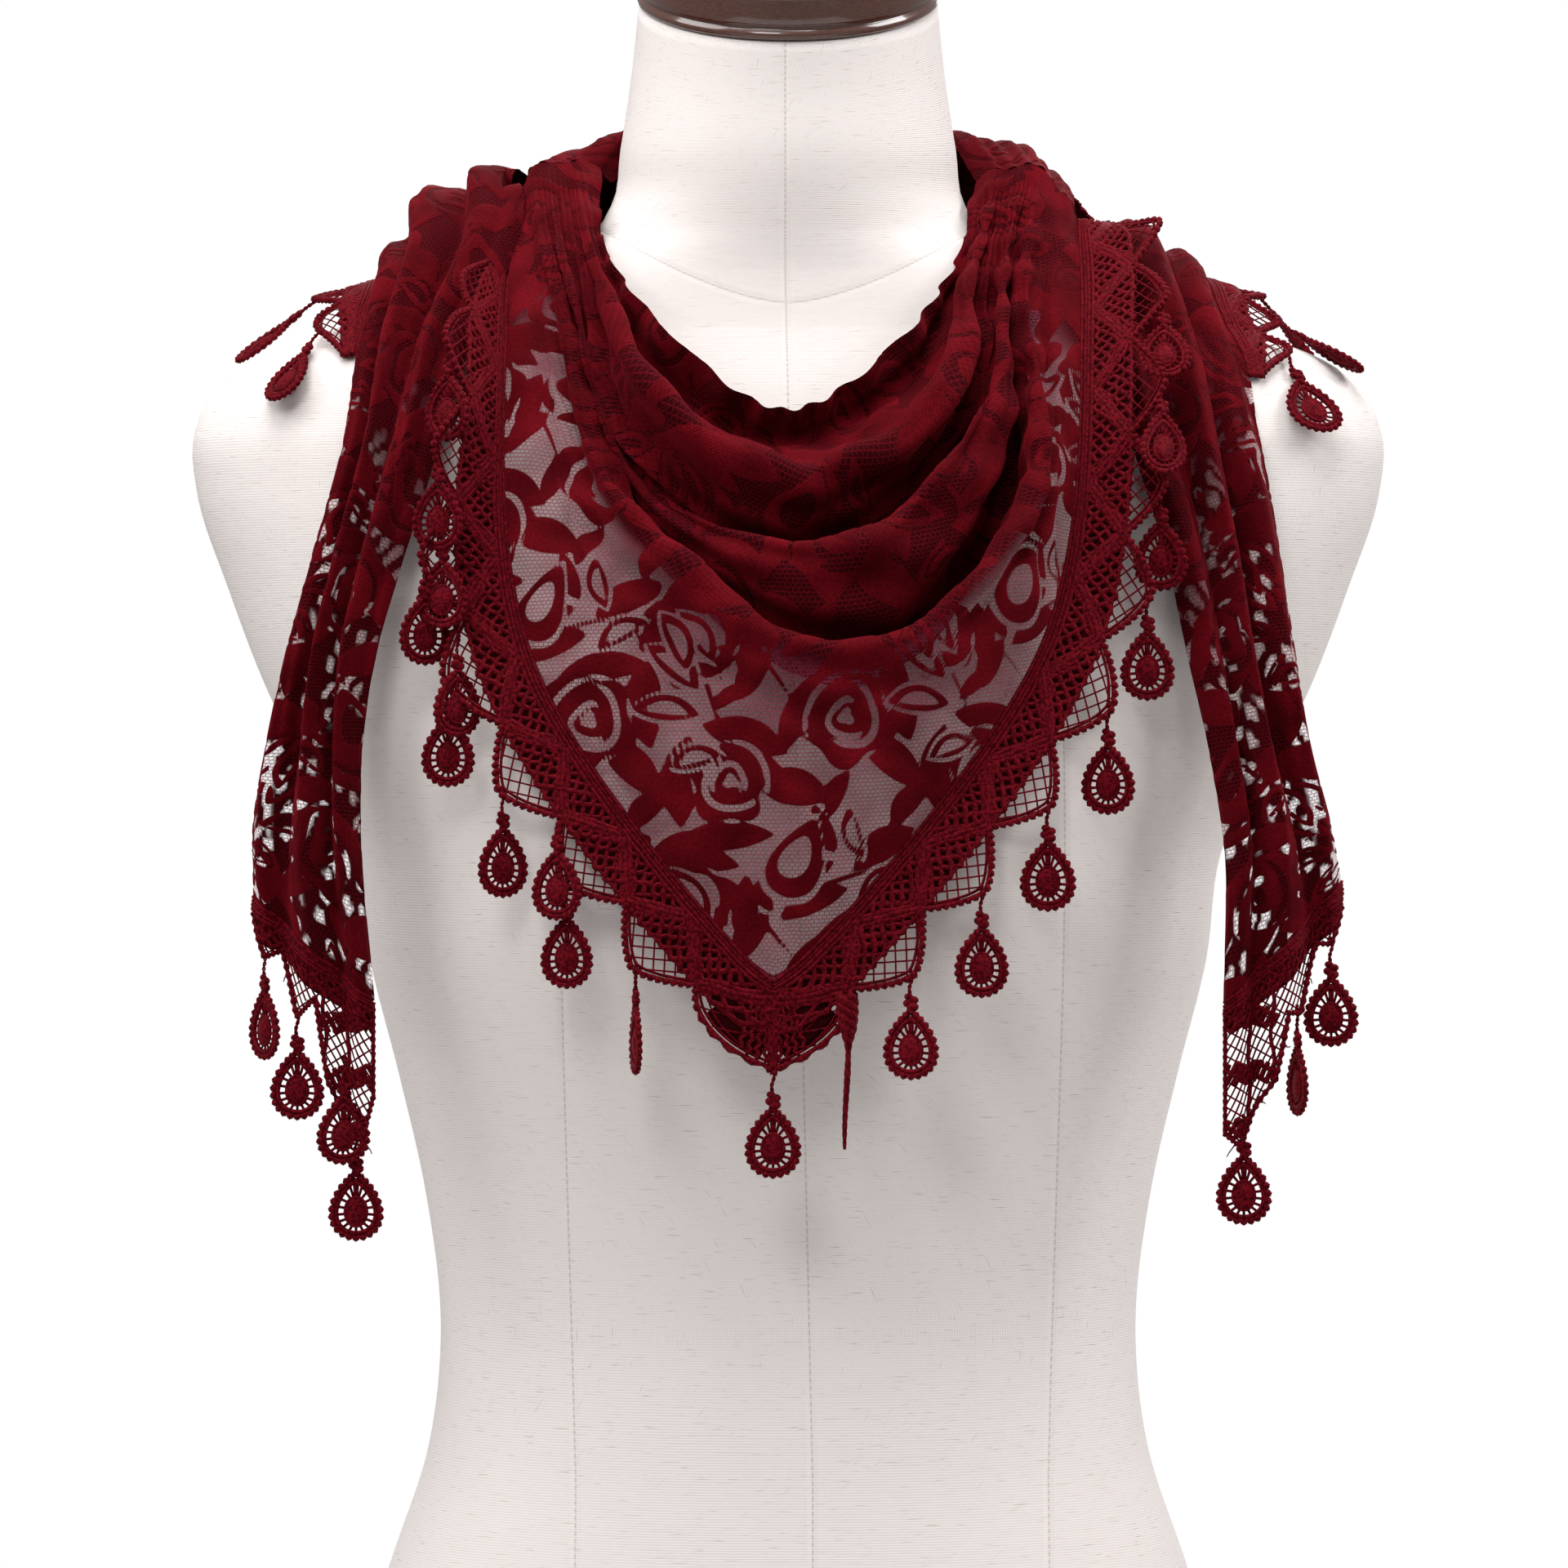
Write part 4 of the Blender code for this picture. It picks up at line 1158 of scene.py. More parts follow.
# ---- meshes
def make_piece(
    name: str,
    points: Array,
    corners: Array,
    sizes: Array,
    material: bpy.types.Material | None,
    flat: Array | None = None,
    fields: Mapping[str, Array] | None = None,
) -> Piece:
    """Makes one smooth-shaded piece.

    Args:
        name: The piece's name.
        points: Its points, in millimetres.
        corners: The points of every face, one face after another.
        sizes: How many corners each face has.
        material: Its material.
        flat: Each point's place on the flat cloth, in millimetres.
        fields: Other values of each point, by name.

    Returns:
        The new object.
    """
    mesh = bpy.data.meshes.new(name)
    mesh.vertices.add(len(points))
    mesh.vertices.foreach_set("co", (points * MM).astype(np.float32).ravel())
    mesh.loops.add(len(corners))
    mesh.loops.foreach_set("vertex_index", corners.astype(np.int32))
    mesh.polygons.add(len(sizes))
    starts = np.concatenate([[0], np.cumsum(sizes)[:-1]])
    mesh.polygons.foreach_set("loop_start", starts.astype(np.int32))
    mesh.update(calc_edges=True)
    mesh.validate()
    mesh.shade_smooth()
    if flat is not None:
        layer = mesh.uv_layers.new(name=FLAT_MAP)
        loop_points = np.empty(len(mesh.loops), np.int32)
        mesh.loops.foreach_get("vertex_index", loop_points)
        layer.data.foreach_set("uv", flat.reshape(-1, 2)[loop_points].astype(np.float32).ravel())
    for field_name, values in (fields or {}).items():
        made = mesh.attributes.new(field_name, "FLOAT", "POINT")
        made.data.foreach_set("value", values.astype(np.float32).ravel())
    if material is not None:
        mesh.materials.append(material)
    piece = bpy.data.objects.new(name, mesh)
    bpy.context.scene.collection.objects.link(piece)
    return piece


def grid_faces(rows: int, columns: int, closed: bool = False) -> Array:
    """Numbers the faces of a grid of points.

    Args:
        rows: How many rows it has.
        columns: How many points are in a row.
        closed: Whether each row joins its own start.

    Returns:
        Four corners for each face.
    """
    row = np.arange(rows - 1)[:, None] * columns
    column = np.arange(columns if closed else columns - 1)
    following = (column + 1) % columns
    return np.stack(
        [row + column, row + following, row + columns + following, row + columns + column], axis=-1
    ).reshape(-1, 4)


def make_sheet(
    name: str,
    grid: Array,
    flat: Array,
    fields: Mapping[str, Array],
    material: bpy.types.Material,
) -> Piece:
    """Makes one layer of cloth, each face split along the motif's edge so that the edge stays clean.

    Args:
        name: The piece's name.
        grid: Rows of points, in millimetres.
        flat: Each point's place on the flat cloth, in millimetres.
        fields: Other values of each point, with the depth inside a motif among them.
        material: Its material.

    Returns:
        The new object.
    """
    faces = grid_faces(*grid.shape[:2])
    depth = fields["motif"].ravel()[faces]
    alike = np.abs(depth[:, 0] - depth[:, 2]) <= np.abs(depth[:, 1] - depth[:, 3])
    faces = np.where(alike[:, None], faces, np.roll(faces, -1, axis=1))[:, [0, 1, 2, 0, 2, 3]].reshape(-1, 3)
    sizes = np.full(len(faces), 3)
    return make_piece(name, grid.reshape(-1, 3), faces.ravel(), sizes, material, flat, fields)


@dataclass
class YarnMesh:
    """Collects tubes of yarn and small solids, and makes them one piece."""

    points: list[Array] = field(default_factory=list)
    corners: list[Array] = field(default_factory=list)
    sizes: list[Array] = field(default_factory=list)
    # Stretches of points that belong to the flat strips of painted shade under an edging.
    shaded_grounds: list[tuple[int, int]] = field(default_factory=list)
    count: int = 0

    def add(self, points: Array, faces: Array) -> None:
        """Adds faces that all have the same number of corners.

        Args:
            points: Their points.
            faces: Their corners, numbered from the first of these points.
        """
        self.points.append(points.reshape(-1, 3))
        self.corners.append((faces + self.count).ravel())
        self.sizes.append(np.full(len(faces), faces.shape[1]))
        self.count += len(self.points[-1])

    def tube(
        self,
        path: Array,
        radius: Array | float,
        up: Array,
        sides: int = 5,
        closed: bool = False,
        flatness: float = 1.0,
    ) -> None:
        """Adds a yarn along a path.

        Args:
            path: Points along its middle.
            radius: Its radius, the same all along or at each point.
            up: The direction that its section is turned to, one for all or at each point.
            sides: Corners of its section.
            closed: Whether its end joins its start.
            flatness: Its thickness along up, as a share of its width.
        """
        if len(path) < 2:
            return
        if closed:
            tangent = np.roll(path, -1, axis=0) - np.roll(path, 1, axis=0)
        else:
            tangent = np.gradient(path, axis=0)
        up = np.broadcast_to(up, path.shape)
        side = unit(np.cross(tangent, up))
        top = unit(np.cross(side, tangent)) * flatness
        angle = np.linspace(0, 2 * math.pi, sides, endpoint=False)
        radius = np.broadcast_to(radius, len(path))[:, None, None]
        section = side[:, None] * np.cos(angle)[None, :, None] + top[:, None] * np.sin(angle)[None, :, None]
        rings = path[:, None] + radius * section
        if closed:
            rings = np.concatenate([rings, rings[:1]])
            faces = grid_faces(len(path) + 1, sides, closed=True) % (len(path) * sides)
            self.add(rings[:-1], faces)
            return
        base = self.count
        self.add(rings, grid_faces(len(path), sides, closed=True))
        ends = np.array([np.arange(sides)[::-1], (len(path) - 1) * sides + np.arange(sides)])
        self.corners.append((ends + base).ravel())
        self.sizes.append(np.full(2, sides))

    def bead(self, middle: Array, axes: Array, rings: int = 6, segments: int = 10) -> None:
        """Adds an oval bead.

        Args:
            middle: Its middle.
            axes: Its three half axes, as rows.
            rings: Rings of faces between its poles.
            segments: Faces round each ring.
        """
        turn = np.linspace(0, math.pi, rings + 1)[1:-1]
        angle = np.linspace(0, 2 * math.pi, segments, endpoint=False)
        ball = np.stack(
            [
                np.sin(turn)[:, None] * np.cos(angle),
                np.sin(turn)[:, None] * np.sin(angle),
                np.cos(turn)[:, None] * np.ones(segments),
            ],
            axis=-1,
        )
        base = self.count
        self.add(middle + ball @ axes, grid_faces(rings - 1, segments, closed=True)[:, ::-1])
        poles = self.count
        around, following = np.arange(segments), (np.arange(segments) + 1) % segments
        last = (rings - 2) * segments
        top = np.stack([np.full(segments, poles), base + around, base + following], axis=1)
        bottom = np.stack([np.full(segments, poles + 1), base + last + following, base + last + around], axis=1)
        self.points.append(np.array([middle + axes[2], middle - axes[2]]))
        self.corners.append(np.concatenate([top, bottom]).ravel())
        self.sizes.append(np.full(2 * segments, 3))
        self.count += 2

    def make(self, name: str, material: bpy.types.Material) -> Piece:
        """Makes the piece.

        Args:
            name: Its name.
            material: Its material.

        Returns:
            The new object.
        """
        shaded_ground = np.zeros(self.count)
        for first, last in self.shaded_grounds:
            shaded_ground[first:last] = 1
        return make_piece(
            name,
            np.concatenate(self.points),
            np.concatenate(self.corners),
            np.concatenate(self.sizes),
            material,
            fields={"shaded_ground": shaded_ground},
        )


# ---- crochet drops
class DropKind(Enum):
    """What hangs from a scallop's tip."""

    MEDALLION = "medallion"
    TASSEL = "tassel"


@dataclass(frozen=True)
class CrochetDrop:
    """A teardrop medallion, or a tassel, on a twisted thread."""

    thread_length: float = 7.0
    knob_height: float = 5.2
    width: float = 18.0
    height: float = 23.0
    wall: float = 2.0
    picots: int = 26
    spokes: int = 20
    centre: tuple[float, float] = (3.6, 4.8)
    most_swing: float = 80.0
    clearance: float = 0.8
    tassel_length: float = 52.0

    def outline(self, share: float, count: int) -> Array:
        """Draws the teardrop's outline.

        Args:
            share: Its size, as a share of the whole teardrop's.
            count: How many points it has.

        Returns:
            Places across and down from the teardrop's middle.
        """
        turn = np.linspace(0, 2 * math.pi, count, endpoint=False)
        across = np.sin(turn) * np.sin(turn / 2) ** 0.7
        across = across / np.abs(across).max() * (self.width / 2 - 1.1) * share
        down = -np.cos(turn) * (self.height / 2 - 1.1) * share
        return np.stack([across, down + 2.2 * (1 - share)], axis=1)

    def hang(
        self, form: FormShape, root: Array, turn: float, facing: Array, swing: float, off: float
    ) -> tuple[Array, Array, Array]:
        """Finds how the drop hangs clear of the form.

        Args:
            form: The form's surface.
            root: Where its thread starts.
            turn: How far it has twisted from facing outwards, in degrees.
            facing: The way outwards.
            swing: Its least swing outwards, in degrees.
            off: Its least distance from the form.

        Returns:
            The directions across it, down it and straight through it.
        """
        facing = unit(np.array([facing[0], facing[1], 0]))
        angle = math.radians(turn)
        across = np.array([-facing[1], facing[0], 0])
        wide = across * math.cos(angle) + facing * math.sin(angle)
        low = self.thread_length + self.knob_height
        probes = np.concatenate([[[0, 0], [0, low]], self.outline(1, 12) + (0, low + self.height / 2)])
        thick = np.cross(wide, (0, 0, 1)) * self.wall / 2
        for lean in np.radians(np.arange(swing, self.most_swing, 2)):
            down = np.array([0, 0, -math.cos(lean)]) + facing * math.sin(lean)
            middle = root + wide * probes[:, :1] + down * probes[:, 1:]
            both = np.concatenate([middle - thick, middle + thick])
            if form.distance(both)[0].min() > max(off, self.clearance):
                break
        return wide, down, unit(np.cross(wide, down))

    def add_to(
        self, yarn: YarnMesh, root: Array, frame: tuple[Array, Array, Array], kind: DropKind
    ) -> None:
        """Adds the drop to its edging's yarn.

        Args:
            yarn: The edging's yarn.
            root: Where the drop's thread starts.
            frame: The directions across it, down it and straight through it.
            kind: Whether it is a medallion or a tassel.
        """
        wide, down, through_it = frame

        def spot(across: Array, low: Array, lift: Array | float = 0.0) -> Array:
            """Returns points of the drop's own plane."""
            across, low, lift = np.broadcast_arrays(across, low, lift)
            return root + across[:, None] * wide + low[:, None] * down + lift[:, None] * through_it

        low = np.linspace(-1.0, self.thread_length + 0.5, 14)
        for ply in (0, math.pi):
            twist = low * 1.9 + ply
            kink = 0.45 * np.sin(low * 0.8)
            yarn.tube(spot(kink + 0.38 * np.cos(twist), low, 0.38 * np.sin(twist)), 0.36, through_it, 4)
        if kind is DropKind.TASSEL:
            self.add_tassel(yarn, spot)
            return
        knob = self.thread_length + self.knob_height / 2
        for across, rise, reach in ((-0.7, -1.3, 0.85), (0.9, -0.2, 1.0), (-0.8, 0.9, 1.05), (0.6, 2.0, 1.2)):
            axes = np.array([wide * 1.75 * reach, through_it * 1.2 * reach, down * 1.35 * reach])
            yarn.bead(root + down * (knob + rise) + wide * across, axes, 5, 8)
        middle = self.thread_length + self.knob_height + self.height / 2
        count = self.picots * 4
        rim = self.outline(1, count)
        way = unit(rim)
        bump = np.cos(np.arange(count) * 2 * math.pi / 4)
        rim = rim + way * 0.28 * bump[:, None]
        yarn.tube(spot(rim[:, 0], middle + rim[:, 1]), 1.02 + 0.26 * bump, through_it, 6, closed=True, flatness=0.9)
        inner = self.outline(0.83, 40)
        yarn.tube(spot(inner[:, 0], middle + inner[:, 1]), 0.88, through_it, 5, closed=True)
        outer = self.outline(0.8, self.spokes)
        angle = np.arctan2(outer[:, 0], -(outer[:, 1] - 2.0))
        heart = np.stack([self.centre[0] * np.sin(angle), 2.0 - self.centre[1] * np.cos(angle)], axis=1)
        for start, end in zip(heart, outer):
            run = np.linspace(start, end, 3)
            yarn.tube(spot(run[:, 0], middle + run[:, 1], np.array([0.2, 0.35, 0.0])), 0.47, through_it, 4)
        axes = np.array([wide * self.centre[0], through_it * 1.2, down * self.centre[1]])
        yarn.bead(root + down * (middle + 2.0), axes, 6, 12)
        turn = np.linspace(0, 2 * math.pi, 24, endpoint=False)
        yarn.tube(
            spot(self.centre[0] * np.sin(turn), middle + 2.0 + self.centre[1] * np.cos(turn)),
            0.62,
            through_it,
            5,
            closed=True,
        )

    def add_tassel(self, yarn: YarnMesh, spot: Callable[..., Array]) -> None:
        """Adds a twisted wedge that narrows to a thin spindle.

        Args:
            yarn: The edging's yarn.
            spot: Gives points of the tassel's own plane.
        """
        low = np.linspace(2.0, self.tassel_length, 60)
        share = (low - low[0]) / (low[-1] - low[0])
        reach = np.interp(share, (0, 0.12, 0.32, 0.38, 0.5, 0.9, 1.0), (3.4, 3.0, 0.9, 0.6, 0.75, 0.55, 0.3))
        drift = 1.2 * np.sin(share * 5)
        for ply in range(4):
            twist = low * 0.55 + ply * math.pi / 2
            path = spot(drift + reach * np.cos(twist), low, reach * 0.7 * np.sin(twist))
            yarn.tube(path, np.clip(reach * 0.75, 0.35, 1.5), np.array([0.3, 1.0, 0.2]), 5)


# ---- crochet edging
@dataclass
class EdgingPlan:
    """One trim along a free edge, and how it leans, widens and stands off from its start to its end."""

    name: str
    band: float
    scallops: float
    start: float = 0.0
    leans: tuple = ((0, 0),)
    widths: tuple = ((0, 1),)
    offs: tuple = ((0, 2.4),)
    turns: tuple = ()
    swings: tuple = ()
    extras: tuple = ()

    def drops(self) -> list[tuple[float | None, float]]:
        """Returns each scallop's drop as its turn and swing."""
        return list(zip(self.turns, self.swings))


@dataclass
class EdgingSurface:
    """The surface that an edging lies on: along its seam, and away from it."""

    form: FormShape
    hem: Array
    away: Array
    reach: float
    shares: Array
    offs: Array
    rows: int = 40
    lead: float = 2.0
    grid: Array = field(init=False)
    normals: Array = field(init=False)
    length: float = field(init=False)

    def __post_init__(self) -> None:
        """Lays a fine grid of points on the surface."""
        self.length = float(travelled(self.hem)[-1])
        away = np.linspace(-self.lead, self.reach, self.rows)[:, None]
        share = np.clip(away / self.reach, 0, 1)
        away = np.where(away > 0, away * self.shares, away)[..., None]
        least = CLOTH_CLEARANCE + share * (self.offs[None] - CLOTH_CLEARANCE)
        self.grid = self.form.settle(self.hem[None] + self.away[None] * away, least)
        self.normals = self.form.cloth_normals(self.grid)

    def read(self, field_grid: Array, u: Array, v: Array) -> Array:
        """Reads a grid of vectors between its points.

        Args:
            field_grid: The grid.
            u: Distances along the seam.
            v: Distances away from it.

        Returns:
            A vector for each place.
        """
        row = np.clip((v + self.lead) / (self.reach + self.lead), 0, 1) * (self.rows - 1)
        column = np.clip(u / self.length, 0, 1) * (field_grid.shape[1] - 1)
        r0 = np.minimum(row.astype(int), self.rows - 2)
        c0 = np.minimum(column.astype(int), field_grid.shape[1] - 2)
        fr, fc = (row - r0)[:, None], (column - c0)[:, None]
        top = field_grid[r0, c0] * (1 - fc) + field_grid[r0, c0 + 1] * fc
        bottom = field_grid[r0 + 1, c0] * (1 - fc) + field_grid[r0 + 1, c0 + 1] * fc
        return top * (1 - fr) + bottom * fr

    def place(self, u: Array, v: Array, lift: Array | float = 0.0) -> tuple[Array, Array]:
        """Finds points on the surface.

        Args:
            u: Distances along the seam.
            v: Distances away from it.
            lift: How far the points stand off the surface.

        Returns:
            The points, and the surface's normals there.
        """
        u, v = np.broadcast_arrays(np.asarray(u, float), np.asarray(v, float))
        normals = unit(self.read(self.normals, u, v))
        return self.read(self.grid, u, v) + normals * np.broadcast_to(lift, len(u))[:, None], normals


@dataclass
class CrochetEdging:
    """A band of round-holed netting between corded seams and zigzags, with netted scallops and drops."""

    surface: EdgingSurface
    pitch: float
    band: float
    depth: float
    drop: CrochetDrop = field(default_factory=CrochetDrop)
    roundness: float = 1.4
    cell: float = 4.6
    row_space: float = 2.3
    net_radius: float = 0.94
    scallop_cell: float = 3.5
    seam_lap: float = 1.4
    # Where the netting starts, where the zigzag starts, and how far inside the rim a drop's thread starts.
    net_start: float = 4.6
    zigzag_start: float = 3.4
    drop_lap: float = 2.0
    seam_cords: tuple = (
        # distance from the seam, radius, lift
        (-0.9, 0.62, 0.3), (0.35, 0.68, 0.1), (1.6, 0.72, 0.35), (3.0, 0.72, 0.45),
    )
    # Each of the zigzag's cords: how far it is shifted, and its radius.
    zigzag_cords: tuple = ((-1.7, 1.05), (0.0, 1.3), (1.7, 1.05))
    yarn: YarnMesh = field(default_factory=YarnMesh)

    def scallop(self, u: Array) -> Array:
        """Returns how far the outer edge is from the seam at each distance along it."""
        place = (u / self.pitch) % 1
        return self.band + self.depth * (1 - np.abs(2 * place - 1) ** self.roundness)

    def cord(self, u: Array, v: Array, radius: Array | float, lift: float, **shape: float) -> None:
        """Adds a yarn through places on the surface."""
        path, normals = self.surface.place(u, v, lift)
        self.yarn.tube(path, radius, normals, **shape)

    def clipped(self, u: Array, v: Array, inside: Array, radius: float, lift: float) -> None:
        """Adds the stretches of a yarn that lie inside.

        Args:
            u: Distances along the seam.
            v: Distances away from it.
            inside: Whether each place is inside.
            radius: The yarn's radius.
            lift: How far it stands off the surface.
        """
        breaks = np.flatnonzero(np.diff(inside.astype(int))) + 1
        for stretch in np.split(np.arange(len(u)), breaks):
            if inside[stretch[0]] and len(stretch) > 2:
                self.cord(u[stretch], v[stretch], radius, lift, sides=4)

    def add_seam_cords(self) -> None:
        """Adds the raised cords along the seam."""
        u = np.arange(0, self.surface.length, 1.1)
        for v, radius, lift in self.seam_cords:
            ripple = 0.10 * np.sin(2 * math.pi * u / 2.3 + v)
            self.cord(u, np.full(len(u), v), radius + ripple, lift, sides=5)

    def add_shaded_ground(self, deep: Array, u: Array) -> None:
        """Adds two flat near-black strips under the band, painted shade that shows through its holes.

        Args:
            deep: How far it reaches from the seam at each place.
            u: Distances along the seam.
        """
        before = self.yarn.count
        for share in (0.25, 0.75):
            v = (deep + self.seam_lap) * share - self.seam_lap
            self.cord(u, v, (deep + self.seam_lap) * 0.27, -0.55, sides=6, flatness=0.06)
        self.yarn.shaded_grounds.append((before, self.yarn.count))

    def add_band(self) -> None:
        """Adds the band's round-holed netting, its zigzag and its outer cord."""
        places = np.arange(0, self.surface.length, 1.6)
        self.add_shaded_ground(np.full(len(places), self.band - 0.6), places)
        u = np.arange(0, self.surface.length, 0.62)
        rows = int((self.band - self.net_start) / self.row_space) + 1
        for row in range(rows):
            phase = math.pi * (row % 2) + 0.7 * np.sin(u / 5.3 + 0.9 * row)
            swing = 1.05 + 0.3 * np.sin(u / 3.7 + 2.1 * row)
            v = self.net_start + self.row_space * row + swing * np.sin(2 * math.pi * u / self.cell + phase)
            self.cord(u, v, self.net_radius * (1 + 0.18 * np.sin(u / 2.9 + row)), 0.0, sides=5)
        u = np.arange(0, self.surface.length, 0.9)
        zigzag = self.zigzag_start + (self.band - self.net_start) * np.abs(2 * ((u / self.pitch) % 1) - 1)
        for shift, width in self.zigzag_cords:
            v = np.clip(zigzag + shift, 3.2, self.band - 0.8)
            self.cord(u, v + 0.25 * np.sin(u / 1.3 + shift), width, 0.3, sides=5, flatness=0.6)
        ripple = 0.14 * np.sin(2 * math.pi * u / 2.1)
        self.cord(u, np.full(len(u), self.band - 0.4), 0.62 + ripple, 0.2, sides=5)

    def add_tip_fan(self) -> None:
        """Adds the yarns that spread from the seam's end, where the edging turns the bib's point."""
        places = np.arange(self.surface.length - 9.6, self.surface.length - 0.8, 1.6)
        self.add_shaded_ground(self.scallop(places) - 3.0, places)
        for step in range(7):
            u = self.surface.length - 0.2 - 0.85 * step
            deep = self.scallop(np.array([u]))[0] - 1.5
            v = np.arange(1.5 + 0.5 * step, deep, 0.9)
            self.cord(u + 0.2 * np.sin(1.7 * v + step), v, 0.72, 0.15, sides=5)

    def add_scallops(self) -> None:
        """Adds the net inside each scallop and its bumpy rim."""
        u = np.arange(0, self.surface.length, 0.5)
        v = self.scallop(u)
        arc = travelled(np.stack([u, v], axis=1))
        bump = np.cos(2 * math.pi * arc / 2.4)
        self.cord(u, v - 0.5 + 0.3 * bump, 1.02 + 0.32 * bump, 0.1, sides=6)
        self.cord(u, v - 2.4, 0.5, 0.0, sides=4)
        length, reach = self.surface.length, self.band + self.depth
        step = self.scallop_cell * math.sqrt(2)
        run = np.arange(0, self.depth + 2, 0.9)
        for slant in (-1, 1):
            for start in np.arange(-reach, length + reach, step):
                nu, nv = start + slant * run, self.band - 0.6 + run
                inside = (nu > 0) & (nu < length) & (nv < self.scallop(nu) - 0.8)
                self.clipped(nu, nv, inside, 0.3, 0.0)

    def add_drops(self, plan: EdgingPlan, facing: Array | None) -> None:
        """Adds a drop at the tip of each scallop.

        Args:
            plan: The trim's plan.
            facing: The way that all its drops face, or None where each faces straight off the form.
        """
        form, length = self.surface.form, self.surface.length
        hung = [(index + 0.5, turn, swing, DropKind.MEDALLION) for index, (turn, swing) in enumerate(plan.drops())]
        for place, turn, swing, kind in [*hung, *plan.extras]:
            if turn is None:
                continue
            tip = min(self.pitch * place, length)
            u = np.array([tip])
            root, _ = self.surface.place(u, self.scallop(u) - self.drop_lap)
            away_from_form, outward = form.distance(root)
            off = min(away_from_form[0], along_table(plan.offs, tip / length)) - 1.6
            way = outward[0] if facing is None else facing
            frame = self.drop.hang(form, root[0], turn, way, swing, off)
            self.drop.add_to(self.yarn, root[0], frame, kind)


@dataclass
class TailEdging(CrochetEdging):
    """The edging below a tail's slanting seam: a narrow band, short scallops and a hanging netted strip."""

    ends: tuple = TAIL_END_LEFT
    # Depth of its round-holed band, and the spacing of the knotted clusters in its hanging strip.
    head: float = 10.0
    clusters: float = 2.9
    # Place along the seam, sideways sweep and length of each frayed thread end.
    frays: tuple = ((0.22, -5, 3), (0.3, -3.5, 4.5), (0.55, -4, 3), (0.93, 3.5, 4), (0.86, 1.5, 5), (0.7, -2, 3.5))

    def scallop(self, u: Array) -> Array:
        """Returns how far the edging hangs at each distance along the seam."""
        return along_table(self.ends, u / self.surface.length)

    def add_net(self) -> None:
        """Adds the round-holed band below the seam, the open net under it, its rim and a few corded ribs."""
        length = self.surface.length
        places = np.arange(0, length, 1.2)
        self.add_shaded_ground(np.minimum(self.scallop(places) - 1.5, self.head), places)
        u = np.arange(0, length, 0.62)
        deepest = max(depth for _, depth in self.ends)
        for row in range(int((deepest - 5) / self.row_space) + 1):
            v = 4.4 + self.row_space * row + 1.0 * np.sin(2 * math.pi * u / self.cell + math.pi * (row % 2))
            knotted = (v < self.head) | ((u > 0.58 * length) & (np.sin(v / self.clusters + u / 5) > 0.3))
            self.clipped(u, v, (v < self.scallop(u) - 0.6) & knotted, self.net_radius, 0.0)
        run = np.arange(0, deepest, 0.9)
        for slant in (-1, 1):
            for start in np.arange(-deepest, length + deepest, 0.85 * self.scallop_cell * math.sqrt(2)):
                nu, nv = start + slant * run, self.head - 2 + run
                inside = (nu > 0) & (nu < length)
                inside &= nv < self.scallop(np.clip(nu, 0, length)) - 0.8
                self.clipped(nu, nv, inside, 0.32, 0.0)
        fine = np.arange(0, length, 0.25)
        arc = travelled(np.stack([fine, self.scallop(fine)], axis=1))
        places = np.arange(0, arc[-1], 0.55)
        rim = np.interp(places, arc, fine)
        bump = np.cos(2 * math.pi * places / 2.4)
        self.cord(rim, self.scallop(rim) - 0.4, 0.9 + 0.28 * bump, 0.1, sides=6)
        for side in (0.4, length - 0.4):
            v = np.arange(0, self.scallop(np.array([side]))[0], 0.8)
            self.cord(np.full(len(v), side), v, 0.8 + 0.2 * np.cos(2.6 * v), 0.1, sides=5)
        for strand, (share, sweep, reach) in enumerate(self.frays):
            v = self.scallop(np.array([share * length]))[0] - 1 + np.linspace(0, reach, 9)
            turn = np.linspace(0, 1, 9)
            u = share * length + sweep * turn**1.5 + 0.5 * np.sin(7 * turn + strand)
            self.cord(u, v, 0.3 - 0.12 * turn, 0.4, sides=4)
        for share in (0.62, 0.8):
            v = np.arange(3, self.scallop(np.array([share * length]))[0] - 1, 0.9)
            self.cord(share * length + 0.8 * np.sin(v / 3), v, 0.7, 0.2, sides=5)


# ---- the pieces
def hand_over(piece: Piece, node: str) -> Piece:
    """Lets a piece ride on the form and stand for its solid.

    Args:
        piece: The piece.
        node: The solid's node.

    Returns:
        The piece.
    """
    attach(piece, ROOT_BODY)
    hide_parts(node)
    return piece


